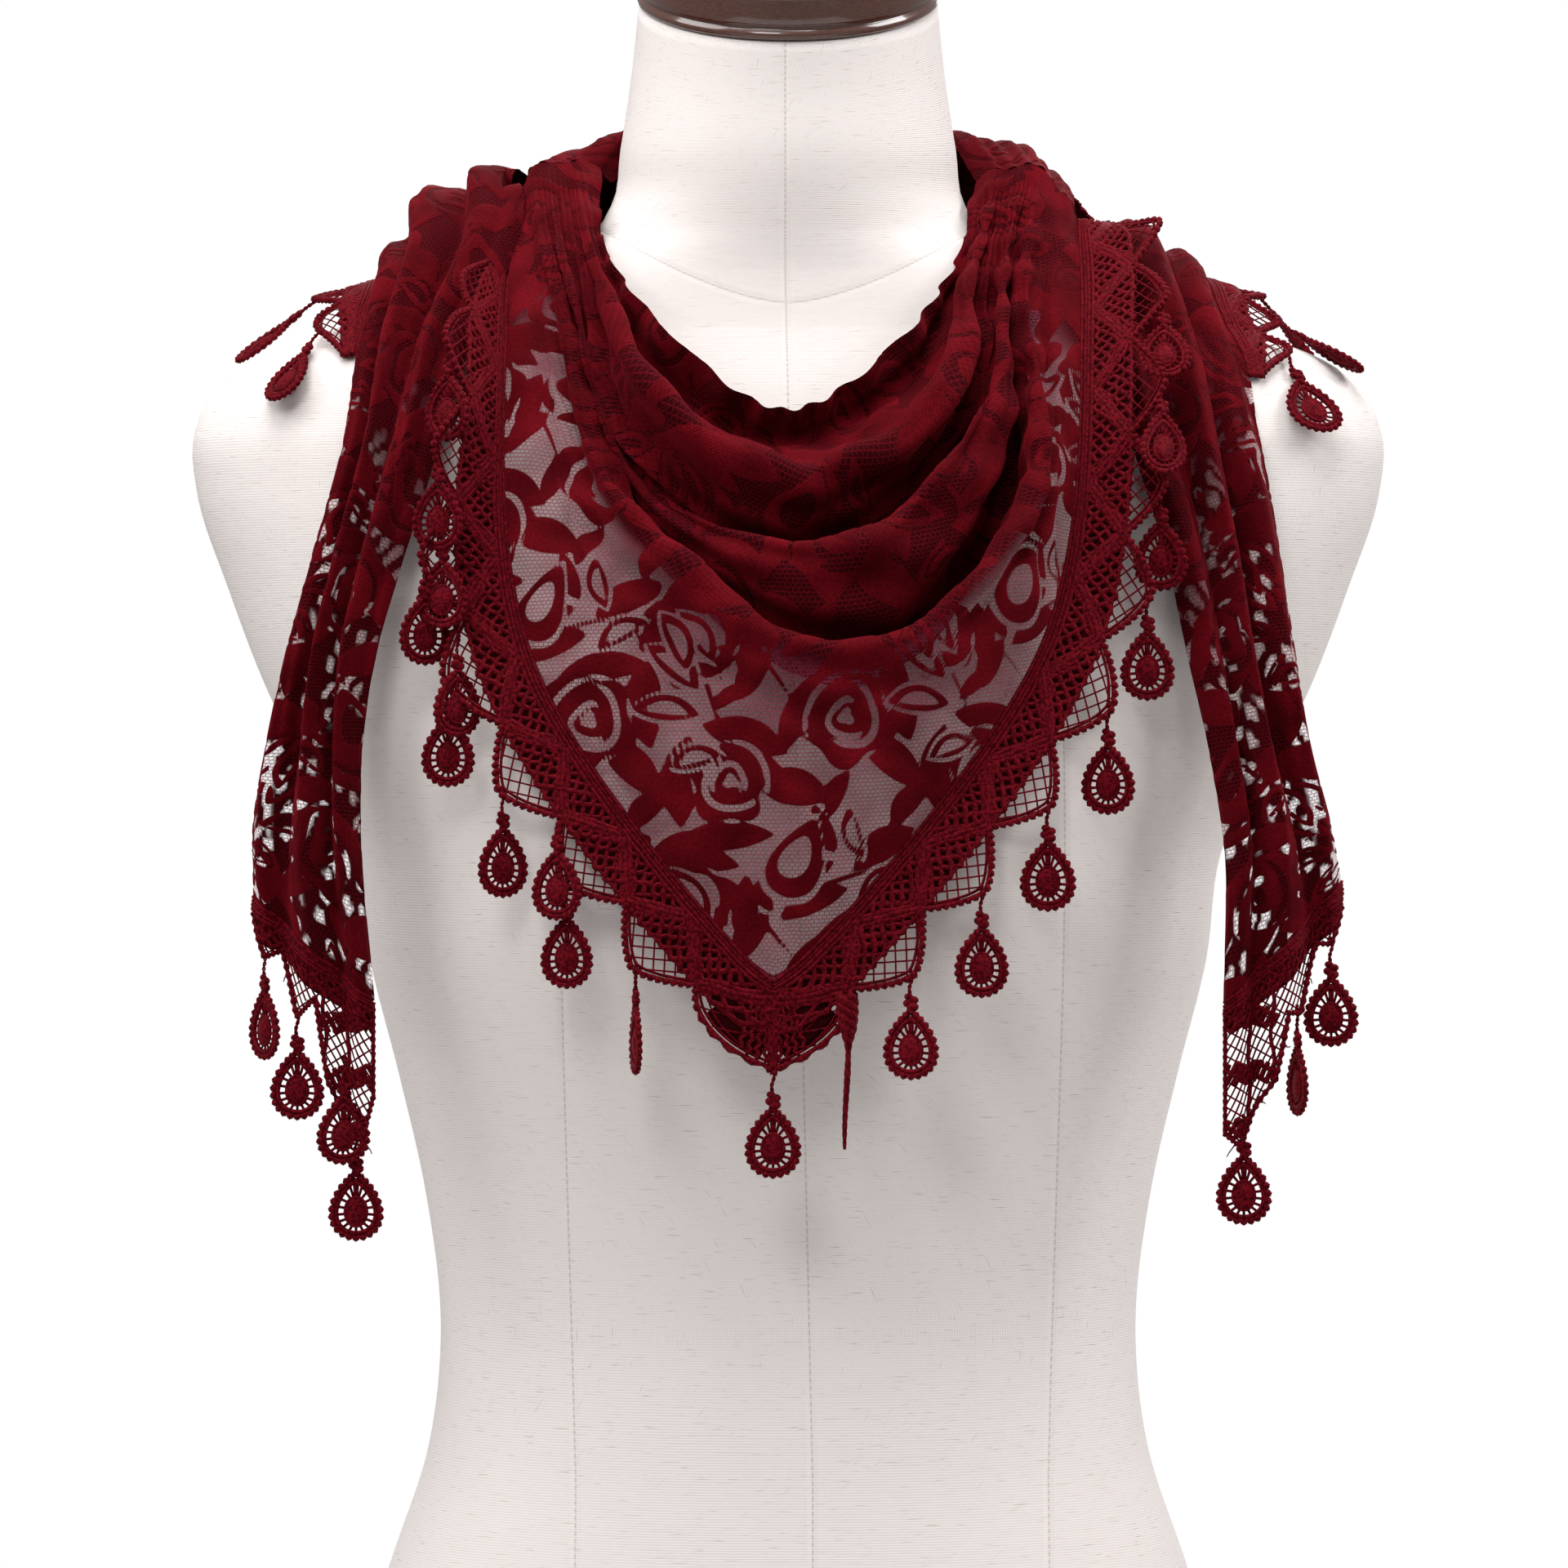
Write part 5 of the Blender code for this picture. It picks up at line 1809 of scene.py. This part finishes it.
@dataclass
class DressForm:
    """The limbless form: a padded linen torso and a lacquered cap on its neck."""

    shape: FormShape
    linen: WovenLinen = field(default_factory=WovenLinen)
    wood: LacqueredWood = field(default_factory=LacqueredWood)
    segments: int = 168
    levels: int = 132
    cap_segments: int = 120
    cap_radius: float = 51.5
    cap_profile: tuple = (
        # height above the neck's top, share of the cap's radius
        (0.3, 0.0), (0.3, 0.93), (0.5, 0.975), (1.2, 0.995), (2.2, 1.0), (3.4, 0.995), (4.0, 0.975), (4.6, 0.97),
        (5.2, 0.985), (6.5, 0.992), (9.0, 0.99), (14.0, 0.988), (16.0, 0.99), (17.0, 1.0), (18.6, 1.0),
        (20.0, 0.985), (21.2, 0.95), (22.2, 0.88), (23.0, 0.7), (23.6, 0.4), (23.8, 0.0),
    )

    def seam_distances(self, points: Array) -> dict[str, Array]:
        """Measures from the sewn panel seams.

        Args:
            points: Points of the torso.

        Returns:
            Each point's signed distance from each seam, by the seam's name.
        """
        x, y, z = points[..., 0], points[..., 1], points[..., 2]
        front, low = y < 0, np.clip((560 - z) / 400, 0, 1)
        round_neck = np.where(front, 549 + 26 * np.abs(x / 62) ** 1.6, 576 + 3 * np.abs(x / 62))
        return {
            PanelSeam.NECK.value: z - round_neck,
            PanelSeam.CENTRE.value: x - np.where(front, 9.0 * low - 1, 0.0),
            PanelSeam.LEFT.value: x + np.where(front, 70.0, 74.0) + 4 * np.sin(low * math.pi),
            PanelSeam.RIGHT.value: x - np.where(front, 86.0, 74.0) - 4 * np.sin(low * math.pi),
            PanelSeam.SIDE.value: np.where(np.abs(x) > 60, y - 4, 99.0),
        }

    def make_torso(self) -> Piece:
        """Makes the linen torso, closed under its base and at its neck.

        Returns:
            The piece.
        """
        corners = [ring[0] for ring in self.shape.rings]
        heights = np.unique(np.concatenate([np.linspace(0, self.shape.neck_top, self.levels), corners]))
        rings = np.array([self.shape.ring(height, self.segments) for height in heights])
        around = np.array([travelled(np.concatenate([ring, ring[:1]])) for ring in rings])
        up = travelled(rings[:, self.segments // 2])
        # The first column is repeated, so that the weave meets itself at the side seam without a smear.
        rings = np.concatenate([rings, rings[:, :1]], axis=1)
        flat = np.stack([around, np.broadcast_to(up[:, None], around.shape)], axis=-1)
        faces = grid_faces(len(heights), self.segments + 1)
        points = rings.reshape(-1, 3)
        last = (len(heights) - 1) * (self.segments + 1)
        caps = [np.arange(self.segments)[::-1], last + np.arange(self.segments)]
        piece = make_piece(
            "linen_torso",
            points,
            np.concatenate([faces.ravel(), *caps]),
            np.concatenate([np.full(len(faces), 4), [self.segments, self.segments]]),
            self.linen.make(),
            flat,
            self.seam_distances(points),
        )
        return hand_over(piece, "form_torso")

    def make_cap(self) -> Piece:
        """Makes the turned cap: a bead at its foot, a plain side, a bead and a shallow crown.

        Returns:
            The piece.
        """
        count = self.cap_segments
        top = self.shape.ring(self.shape.neck_top, count)
        middle = top.mean(axis=0)
        lift = unit(np.array([0, -self.shape.neck_top_slope, 1]))
        widest = self.cap_radius / np.abs(top[:, 0]).max()
        rings = [
            middle + (top - middle) * max(share, 1e-3) * widest + lift * rise for rise, share in self.cap_profile
        ]
        points = np.concatenate(rings)
        faces = grid_faces(len(rings), count, closed=True)
        ends = np.array([np.arange(count)[::-1], (len(rings) - 1) * count + np.arange(count)])
        piece = make_piece(
            "wooden_neck_cap",
            points,
            np.concatenate([faces.ravel(), ends.ravel()]),
            np.concatenate([np.full(len(faces), 4), [count, count]]),
            self.wood.make(),
        )
        return hand_over(piece, "form_neck_cap")


@dataclass
class LaceShawl:
    """The shawl: the bib, the two gathered wraps and tails, and the crochet edging on their free edges."""

    shape: FormShape
    lace: RaschelLace = field(default_factory=RaschelLace)
    cotton: CrochetCotton = field(default_factory=CrochetCotton)
    pattern: LacePattern = field(default_factory=LacePattern)
    bib_columns: int = 336
    bib_rows: int = 282
    # The folds near the neck lie close together, so they take fewer rows than the wide ones below.
    upper_rows: float = 0.44
    upper_folds: float = 8.4
    cut_columns: int = 60
    cut_rows: int = 49
    run_step: float = 1.25
    band: float = 17.0
    scallop_depth: float = 12.0
    motif_rise: float = 0.25
    # Where the runs lie on the lace's pattern, so that they do not repeat the bib's motifs.
    run_shift: tuple[float, float] = (37.0, 20.0)
    # How far apart the points of an edging's seam are.
    seam_step: float = 1.2
    # Height, and how deep the neck-side edge of the upper run is turned under there.
    tuck_depths: tuple = ((400, 0.2), (430, 2.5), (520, 6), (560, 8), (590, 7.5), (600, 4.5), (612, 0.2))
    # The same where the lower run leaves its gather and climbs the side of the neck.
    neck_tuck: tuple = ((590, 3), (599, 6), (606, 9), (618, 8))
    least_tuck: float = 0.15
    tuck_steps: int = 8
    under: GatheredRun = field(init=False)
    over: GatheredRun = field(init=False)
    bib: BibShape = field(init=False)
    lace_material: bpy.types.Material = field(init=False)
    cotton_material: bpy.types.Material = field(init=False)

    def __post_init__(self) -> None:
        """Sets out the runs and the bib, and dyes the yarns."""
        self.under = GatheredRun(self.shape, RUN_UNDER, fine_depth=0.85, valley_depth=8.0)
        self.over = GatheredRun(self.shape, RUN_OVER, fine_depth=0.85, valley_depth=8.0)
        self.bib = BibShape(self.shape, self.under, self.over)
        self.lace_material = self.lace.make()
        self.cotton_material = self.cotton.make()

    def raised(self, grid: Array, depth: Array) -> Array:
        """Returns the cloth with its motifs standing a little proud of the net."""
        normals = self.shape.cloth_normals(grid)
        return grid + normals * (self.motif_rise * smooth_step(-0.3, 0.5, depth))[..., None]

    def creases(self, fold: Array, column: Array, flat: Array) -> Array:
        """Works out the small folds between the bib's large ones.

        Args:
            fold: Each row's place among the large folds.
            column: Each column's place from the left gather to the right gather.
            flat: Places on the flat cloth.

        Returns:
            How far each point stands out of the smooth surface.
        """
        x, y = flat[..., 0], flat[..., 1]
        sides = np.exp(-(((column - 0.27) / 0.13) ** 2)) + np.exp(-(((column - 0.73) / 0.13) ** 2))
        rolls = 1 - smooth_step(8.6, 9.4, fold)
        ends = smooth_step(0.0, 0.05, column) * (1 - smooth_step(0.95, 1.0, column))
        deep = -np.cos(2 * math.pi * (fold - 1.0) / 1.9 + 1.2 * np.sin(9 * column)) * 3.6 * sides * rolls
        drag = np.sin(2 * math.pi * fold / 0.62 + 5 * np.sin(7 * column + 0.4 * fold)) * (0.4 + 0.9 * sides)
        long = 0.9 * np.sin((y + 0.25 * x) / 3.1 + 2 * np.sin(x / 23)) * (0.35 + 0.65 * rolls)
        cross = 0.45 * np.sin((x + y) / 6.5 + np.sin(y / 12)) + 0.35 * np.sin((x - y) / 5.3 + 2)
        body = smooth_step(0.2, 1.2, fold) * (1 - smooth_step(11.2, 12, fold))
        ruffle = np.sin(x / 3.3 + 2.2 * np.sin(x / 17)) * 1.7 * (1 - smooth_step(0.0, 1.3, fold))
        return ((deep + drag * rolls + long + cross) * body + ruffle) * ends

    def deepened(self, grid: Array, normals: Array, fold: Array, column: Array) -> Array:
        """Makes the bib's large folds roll more sharply.

        Args:
            grid: Rows of points.
            normals: The cloth's normals there.
            fold: Each row's place among the large folds.
            column: Each column's place from the left gather to the right gather.

        Returns:
            How far each point moves along its normal.
        """
        reach = int(0.75 * self.upper_rows * self.bib_rows / self.upper_folds)
        weights = np.hanning(2 * reach + 3)[1:-1]
        padded = np.pad(grid, ((reach, reach), (0, 0), (0, 0)), mode="reflect", reflect_type="odd")
        smooth = sum(weight * padded[step : step + len(grid)] for step, weight in enumerate(weights)) / weights.sum()
        stand = np.clip(((grid - smooth) * normals).sum(axis=-1), -3.5, 2.5)
        body = smooth_step(0.3, 1.4, fold) * (1 - smooth_step(9.2, 10.2, fold))
        ends = smooth_step(0.02, 0.10, column) * (1 - smooth_step(0.90, 0.98, column))
        return 1.35 * stand * body * ends

    def make_bib(self) -> Piece:
        """Makes the cowl-folded bib.

        Returns:
            The piece.
        """
        last = len(BIB_FOLDS) - 1
        where = np.interp(np.linspace(0, 1, self.bib_rows), (0, self.upper_rows, 1), (0, self.upper_folds, last))
        grid = self.bib.points(self.bib_columns, where)
        cut = laid_flat(self.bib.points(self.cut_columns, np.linspace(0, last, self.cut_rows)))
        fold, column = where[:, None], np.linspace(0, 1, grid.shape[1])[None, :]
        flat = refined(cut, where / last, column[0])
        normals = self.shape.cloth_normals(grid)
        ripple = self.creases(fold, column, flat) + self.deepened(grid, normals, fold, column)
        grid = self.shape.settle(grid + normals * ripple[..., None], CLOTH_CLEARANCE)
        depth = self.pattern.depth(flat)
        # Where the cloth lies in layers, in the folds near the neck and at the two gathers, the holes are filled
        # with painted shade.
        layered = 1 - smooth_step(8.1, 8.7, fold)
        gathered = 1 - smooth_step(0.10, 0.16, column) + smooth_step(0.84, 0.90, column)
        shaded_backing = np.clip(layered + gathered, 0, 1) + 0 * depth
        fields = {"motif": depth, "shaded_backing": shaded_backing}
        piece = make_sheet("lace_bib", self.raised(grid, depth), flat, fields, self.lace_material)
        return hand_over(piece, "shawl_bib")

    def tucked(self, grid: Array, depths: tuple) -> Array:
        """Turns a run's neck-side edge under.

        Args:
            grid: The run's rows of points.
            depths: Heights, and how deep the edge is turned under at each.

        Returns:
            The run, with the turned-under edge as its first columns.
        """
        edge, onward = grid[:, 0], unit(grid[:, 0] - grid[:, 5])
        _, outward = self.shape.distance(edge)
        reach = self.least_tuck + along_table(depths, edge[:, 2]) * smooth_step(20, 50, -edge[:, 0])
        onward = unit(onward - outward * (onward * outward).sum(axis=1, keepdims=True))
        steps = np.linspace(1, 0, self.tuck_steps, endpoint=False)[:, None, None]
        turned = edge + (onward * steps - 0.6 * outward * steps**2) * reach[:, None]
        return np.concatenate([turned.swapaxes(0, 1), grid], axis=1)

    def make_run(self, name: str, node: str, run: GatheredRun, first: float, last: float) -> Piece:
        """Makes one stretch of gathered cloth.

        Args:
            name: The piece's name.
            node: Its solid's node.
            run: The run that it is cut from.
            first: Where it starts along the run, from 0 to 1.
            last: Where it ends.

        Returns:
            The piece.
        """
        rough = run.points(np.linspace(first, last, 60), np.linspace(0, 1, 30))
        rows = int(travelled(rough[:, 15])[-1] / self.run_step)
        columns = int(max(travelled(row)[-1] for row in rough) / self.run_step)
        grid = run.points(np.linspace(first, last, rows), np.linspace(0, 1, columns), fine=True)
        grid = self.tucked(grid, self.tuck_depths if run is self.over else self.neck_tuck)
        columns = grid.shape[1]
        grid = self.shape.settle(grid, CLOTH_CLEARANCE)
        flat = unrolled_run(grid)
        depth = self.pattern.depth(flat + self.run_shift)
        along = np.linspace(0, 1, rows)[:, None]
        across = np.linspace(0, 1, columns)[None, :]
        x, y = flat[..., 0], flat[..., 1]
        spots = np.sin(x / 1.6 + 2 * np.sin(y / 7)) * np.sin(y / 2.6 + 2 * np.sin(x / 4))
        patches = np.sin(19 * along + 3 * np.sin(7 * across)) + np.sin(11 * across + 5 * np.sin(9 * along))
        # Everywhere else on the runs the net's holes are filled with painted shade; there are small open places from
        # a fifth of the way along, and a few open patches near the outer edge.
        open_place = smooth_step(0.4, 0.6, spots) * smooth_step(0.2, 0.6, along)
        open_place = open_place * smooth_step(-0.9, -0.4, patches)
        outer = smooth_step(0.82, 0.86, across) * smooth_step(0.9, 1.1, patches) * smooth_step(0.2, 0.3, along)
        open_place += outer
        shaded_backing = 1 - np.clip(open_place * float(first > 0), 0, 1)
        fields = {"motif": depth, "shaded_backing": shaded_backing}
        piece = make_sheet(name, self.raised(grid, depth), flat, fields, self.lace_material)
        return hand_over(piece, node)

    def edge_surface(self, edge: Array, inside: Array, plan: EdgingPlan, end_down: bool) -> EdgingSurface:
        """Lays out the surface of an edging sewn to an edge.

        Args:
            edge: The cloth's free edge.
            inside: The next row of the cloth.
            plan: The trim's plan.
            end_down: Whether its far end hangs straight down.

        Returns:
            The surface.
        """
        coarse = int(plan.scallops * 4) + 1
        hem, within = even_places(edge, coarse), even_places(inside, coarse)
        _, outward = self.shape.distance(hem)
        away = unit(np.cross(np.gradient(hem, axis=0), outward))
        away *= np.sign((away * (hem - within)).sum(axis=1, keepdims=True))
        if end_down:
            away[-1] = (0, 0, -1)
        place = np.linspace(0, 1, coarse)
        lean = np.radians(along_table(plan.leans, place))[:, None]
        away = away * np.cos(lean) + outward * np.sin(lean)
        onward = unit(hem - within)
        bend = np.linalg.norm(np.cross(onward, away), axis=1, keepdims=True)
        hem = hem + away * (SEAM_GAP + bend)
        fine = np.linspace(0, 1, int(travelled(edge)[-1] / self.seam_step))
        hem = through(place, hem, fine)
        if end_down:
            onward = unit(hem[-1] - hem[-3])
            hem = np.concatenate([hem, [hem[-1] + onward * 0.9, hem[-1] + onward * 1.8]])
            away = np.concatenate([through(place, away, fine), [away[-1], away[-1]]])
            fine = np.linspace(0, 1, len(hem))
        else:
            away = through(place, away, fine)
        away = unit(away)
        shares = along_table(plan.widths, fine)
        offs = np.maximum(along_table(plan.offs, fine), CLOTH_CLEARANCE)
        return EdgingSurface(self.shape, hem, away, plan.band + self.scallop_depth, shares, offs)

    def make_edging(
        self, plan: EdgingPlan, edge: Array, inside: Array, facing: Array | None
    ) -> Piece:
        """Makes one trim with its drops.

        Args:
            plan: The trim's plan.
            edge: The cloth's free edge.
            inside: The next row of the cloth.
            facing: The way that all its drops face, or None where each faces straight off the form.

        Returns:
            The piece.
        """
        surface = self.edge_surface(edge, inside, plan, facing is not None)
        pitch = surface.length / plan.scallops
        edging = CrochetEdging(surface, pitch, plan.band, self.scallop_depth)
        edging.add_seam_cords()
        edging.add_band()
        edging.add_scallops()
        if facing is not None:
            edging.add_tip_fan()
        edging.add_drops(plan, facing)
        piece = edging.yarn.make("crochet_" + plan.name, self.cotton_material)
        return hand_over(piece, "trim_" + plan.name)

    def make_tail_edging(self, name: str, run: GatheredRun, ends: tuple, hung: tuple) -> Piece:
        """Makes the edging of one tail's end with its drops.

        Args:
            name: The trim's name.
            run: The run that ends there.
            ends: Places along the seam, and how far the edging hangs at each.
            hung: Each drop's place along the seam, height as a share of the edging's, turn and swing.

        Returns:
            The piece.
        """
        places = np.linspace(0, 1, 60)
        seam = run.points(1.0, 1 - places)[0] + (0, 0, -0.9)
        down = np.broadcast_to((0.0, 0.0, -1.0), seam.shape)
        deepest = max(depth for _, depth in ends)
        shares, offs = np.ones(len(seam)), np.full(len(seam), CLOTH_CLEARANCE)
        surface = EdgingSurface(self.shape, seam, down, deepest, shares, offs)
        edging = TailEdging(surface, surface.length, self.band, self.scallop_depth, ends=ends)
        edging.add_seam_cords()
        edging.add_net()
        for place, share, turn, swing in hung:
            u = np.array([place * surface.length])
            root, _ = surface.place(u, edging.scallop(u) * share - edging.drop_lap)
            frame = edging.drop.hang(self.shape, root[0], turn, np.array(FRONT), swing, 0.8)
            edging.drop.add_to(edging.yarn, root[0], frame, DropKind.MEDALLION)
        piece = edging.yarn.make("crochet_" + name, self.cotton_material)
        return hand_over(piece, "trim_" + name)

    def make(self) -> dict[str, Piece]:
        """Makes every piece of the shawl.

        Returns:
            The pieces, by name.
        """
        made = {}

        def keep(piece: Piece) -> None:
            """Reports one piece and keeps it.

            Args:
                piece: The piece.
            """
            made[piece.name] = piece
            log.info("%s: %d faces", piece.name, len(piece.data.polygons))

        keep(self.make_bib())
        for run, wrap, tail, side in (
            (self.under, "shawl_wrap_under", "shawl_tail_right", "under"),
            (self.over, "shawl_wrap_over", "shawl_tail_left", "over"),
        ):
            keep(self.make_run(wrap.replace("shawl", "lace"), wrap, run, 0, run.shoulder))
            keep(self.make_run(tail.replace("shawl", "lace"), tail, run, run.shoulder, 1))
        for plan, left in ((BIB_LEFT, True), (BIB_RIGHT, False)):
            edge, inside = self.bib.hem(left, plan.start)
            keep(self.make_edging(plan, edge, inside, np.array(FRONT)))
        for plan, run in ((BACK_OVER, self.over), (BACK_UNDER, self.under)):
            edge, inside = run.outer_edge(plan.start, float(run.knots[8]), 300)
            keep(self.make_edging(plan, edge, inside, None))
        keep(self.make_tail_edging("tail_left", self.over, TAIL_END_LEFT, TAIL_DROPS_LEFT))
        keep(self.make_tail_edging("tail_right", self.under, TAIL_END_RIGHT, TAIL_DROPS_RIGHT))
        return made


BIB_LEFT = EdgingPlan(
    "bib_left",
    band=17.0,
    scallops=8.5,
    start=0.09,
    leans=((0, 52), (0.25, 60), (0.45, 15), (0.6, 0)),
    widths=((0, 0.3), (0.14, 1)),
    turns=(None, 35, 20, -25, 15, -30, 20, 80, 5),
    swings=(0, 12, 0, 0, 0, 0, 0, 0, 0),
    extras=(
        (3.2, 20, 8, DropKind.MEDALLION),
        (4.15, -35, 12, DropKind.MEDALLION),
        (5.95, 25, 10, DropKind.MEDALLION),
    ),
)
BIB_RIGHT = EdgingPlan(
    "bib_right",
    band=17.0,
    scallops=9.5,
    leans=((0, 38), (0.3, 28), (0.5, 8), (0.62, 0)),
    widths=((0, 0.6), (0.06, 1)),
    turns=(None, 20, -30, 15, -10, 20, 8, -15, 12),
    swings=(0, 36, 26, 0, 0, 0, 0, 0, 10),
    extras=((9.02, 60, 4, DropKind.TASSEL),),
)
BACK_OVER = EdgingPlan(
    "back_over",
    band=10.0,
    scallops=11,
    start=0.04,
    leans=((0, 20), (0.3, 10), (0.4, 0)),
    widths=((0, 1), (0.93, 1), (1, 0.3)),
    offs=((0, 17), (0.3, 17), (0.45, 2.4)),
    turns=(10, None, 15, -10, 25, -15, 20, -20, 10, -25, 15),
    swings=(0,) * 11,
)
BACK_UNDER = EdgingPlan(
    "back_under",
    band=10.0,
    scallops=6,
    start=0.36,
    widths=((0, 0.3), (0.1, 1), (0.88, 1), (1, 0.3)),
    turns=(None, 25, -10, 15, -30, 20),
    swings=(0,) * 6,
)


# ---- studio
@dataclass(frozen=True)
class Studio:
    """A pale floor, soft lights and the camera."""

    floor: PaintedFloor = field(default_factory=PaintedFloor)
    floor_half: float = 0.8
    floor_thick: float = 12.0
    floor_drop: float = 0.4
    floor_lines: int = 9
    camera_height: float = 0.389
    camera_distance: float = 2.3
    picture_side: float = 0.5333
    picture_shift: float = -0.0014
    sensor: float = 36.0
    farthest: float = 20.0
    aim_height: float = 0.42
    surround_light: float = 0.25
    lights: tuple = (
        # name, place, side of the square, power in watts
        ("key", (-0.4, -1.35, 1.4), 0.5, 7),
        ("left", (-1.6, -0.5, 1.7), 1.2, 20),
        ("right", (1.7, -0.2, 1.6), 1.0, 27),
        ("top", (-0.1, -0.4, 1.9), 1.2, 28),
        ("back", (0.3, 1.9, 1.5), 1.4, 16),
    )

    def make_floor(self) -> None:
        """Makes the floor that the form stands on, its top and its underside."""
        half, count = self.floor_half / MM, self.floor_lines
        steps = np.linspace(-half, half, count)
        grid = np.array([[(x, y, -self.floor_drop) for x in steps] for y in steps])
        faces = grid_faces(count, count)
        under = grid - (0, 0, self.floor_thick)
        corners = np.concatenate([faces.ravel(), (faces[:, ::-1] + count**2).ravel()])
        points = np.concatenate([grid.reshape(-1, 3), under.reshape(-1, 3)])
        floor = make_piece("studio_floor", points, corners, np.full(2 * len(faces), 4), self.floor.make())

    def make_camera(self) -> None:
        """Places the camera level with the shawl's middle, straight in front."""
        data = bpy.data.cameras.new("camera")
        data.sensor_width = self.sensor
        data.lens = self.sensor * self.camera_distance / self.picture_side
        data.clip_end = self.farthest
        camera = bpy.data.objects.new("camera", data)
        camera.location = (self.picture_shift, -self.camera_distance, self.camera_height)
        camera.rotation_euler = (math.pi / 2, 0, 0)
        bpy.context.scene.collection.objects.link(camera)
        bpy.context.scene.camera = camera

    def make_light(self, name: str, place: tuple[float, float, float], side: float, watts: float) -> None:
        """Adds a square soft light that faces the shawl.

        Args:
            name: Its name.
            place: Where it stands.
            side: Its side.
            watts: Its power.
        """
        data = bpy.data.lights.new(name, "AREA")
        data.shape = "SQUARE"
        data.size = side
        data.energy = watts
        lamp = bpy.data.objects.new(name, data)
        lamp.location = place
        aim = Vector((0, 0, self.aim_height)) - Vector(place)
        lamp.rotation_euler = aim.to_track_quat("-Z", "Y").to_euler()
        bpy.context.scene.collection.objects.link(lamp)

    def make_world(self) -> None:
        """Makes the surroundings white to look at and dimmer as light."""
        world = bpy.data.worlds.new("studio")
        world.use_nodes = True
        tree = world.node_tree
        tree.nodes.clear()
        seen = add_node(tree, "LightPath", output="Is Camera Ray")
        strength = add_node(tree, "MapRange", {"Value": seen, "To Min": self.surround_light, "To Max": 1.0})
        glow = add_node(tree, "Background", {"Color": linear("#FFFFFF"), "Strength": strength})
        add_node(tree, "OutputWorld", {"Surface": glow})
        bpy.context.scene.world = world

    def make(self) -> None:
        """Makes the whole studio."""
        self.make_floor()
        self.make_camera()
        self.make_world()
        for name, place, side, watts in self.lights:
            self.make_light(name, place, side, watts)
        bpy.context.scene.view_settings.view_transform = "Standard"


def declare_cloth(made: Mapping[str, Piece]) -> None:
    """Logs each sheet's area and its flat size.

    Args:
        made: The shawl's pieces, by name.
    """
    sheets = (
        ("lace_bib", (0.375, 0.316), 0.065, "draped", ["crochet_bib_left", "crochet_bib_right"]),
        ("lace_wrap_under", (0.066, 0.235), None, "gathered", ["crochet_back_under"]),
        ("lace_wrap_over", (0.072, 0.235), None, "gathered", ["crochet_back_over"]),
        ("lace_tail_left", (0.076, 0.270), None, "hung", ["crochet_tail_left"]),
        ("lace_tail_right", (0.071, 0.275), None, "hung", ["crochet_tail_right"]),
    )
    for name, flat, area, held, trims in sheets:
        mesh = made[name].data
        areas = np.empty(len(mesh.polygons))
        mesh.polygons.foreach_get("area", areas)
        log.info("%s: %.4f square metres, flat %.3f x %.3f m", name, areas.sum(), *flat)


def main() -> None:
    """Builds the dressed form in its studio."""
    logging.basicConfig(level=logging.INFO, format="%(name)s: %(message)s")
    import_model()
    shape = FormShape()
    form = DressForm(shape)
    for piece in (form.make_torso(), form.make_cap()):
        log.info("%s: %d faces", piece.name, len(piece.data.polygons))
    shawl = LaceShawl(shape)
    made = shawl.make()
    declare_cloth(made)
    Studio().make()


if __name__ == "__main__":
    main()
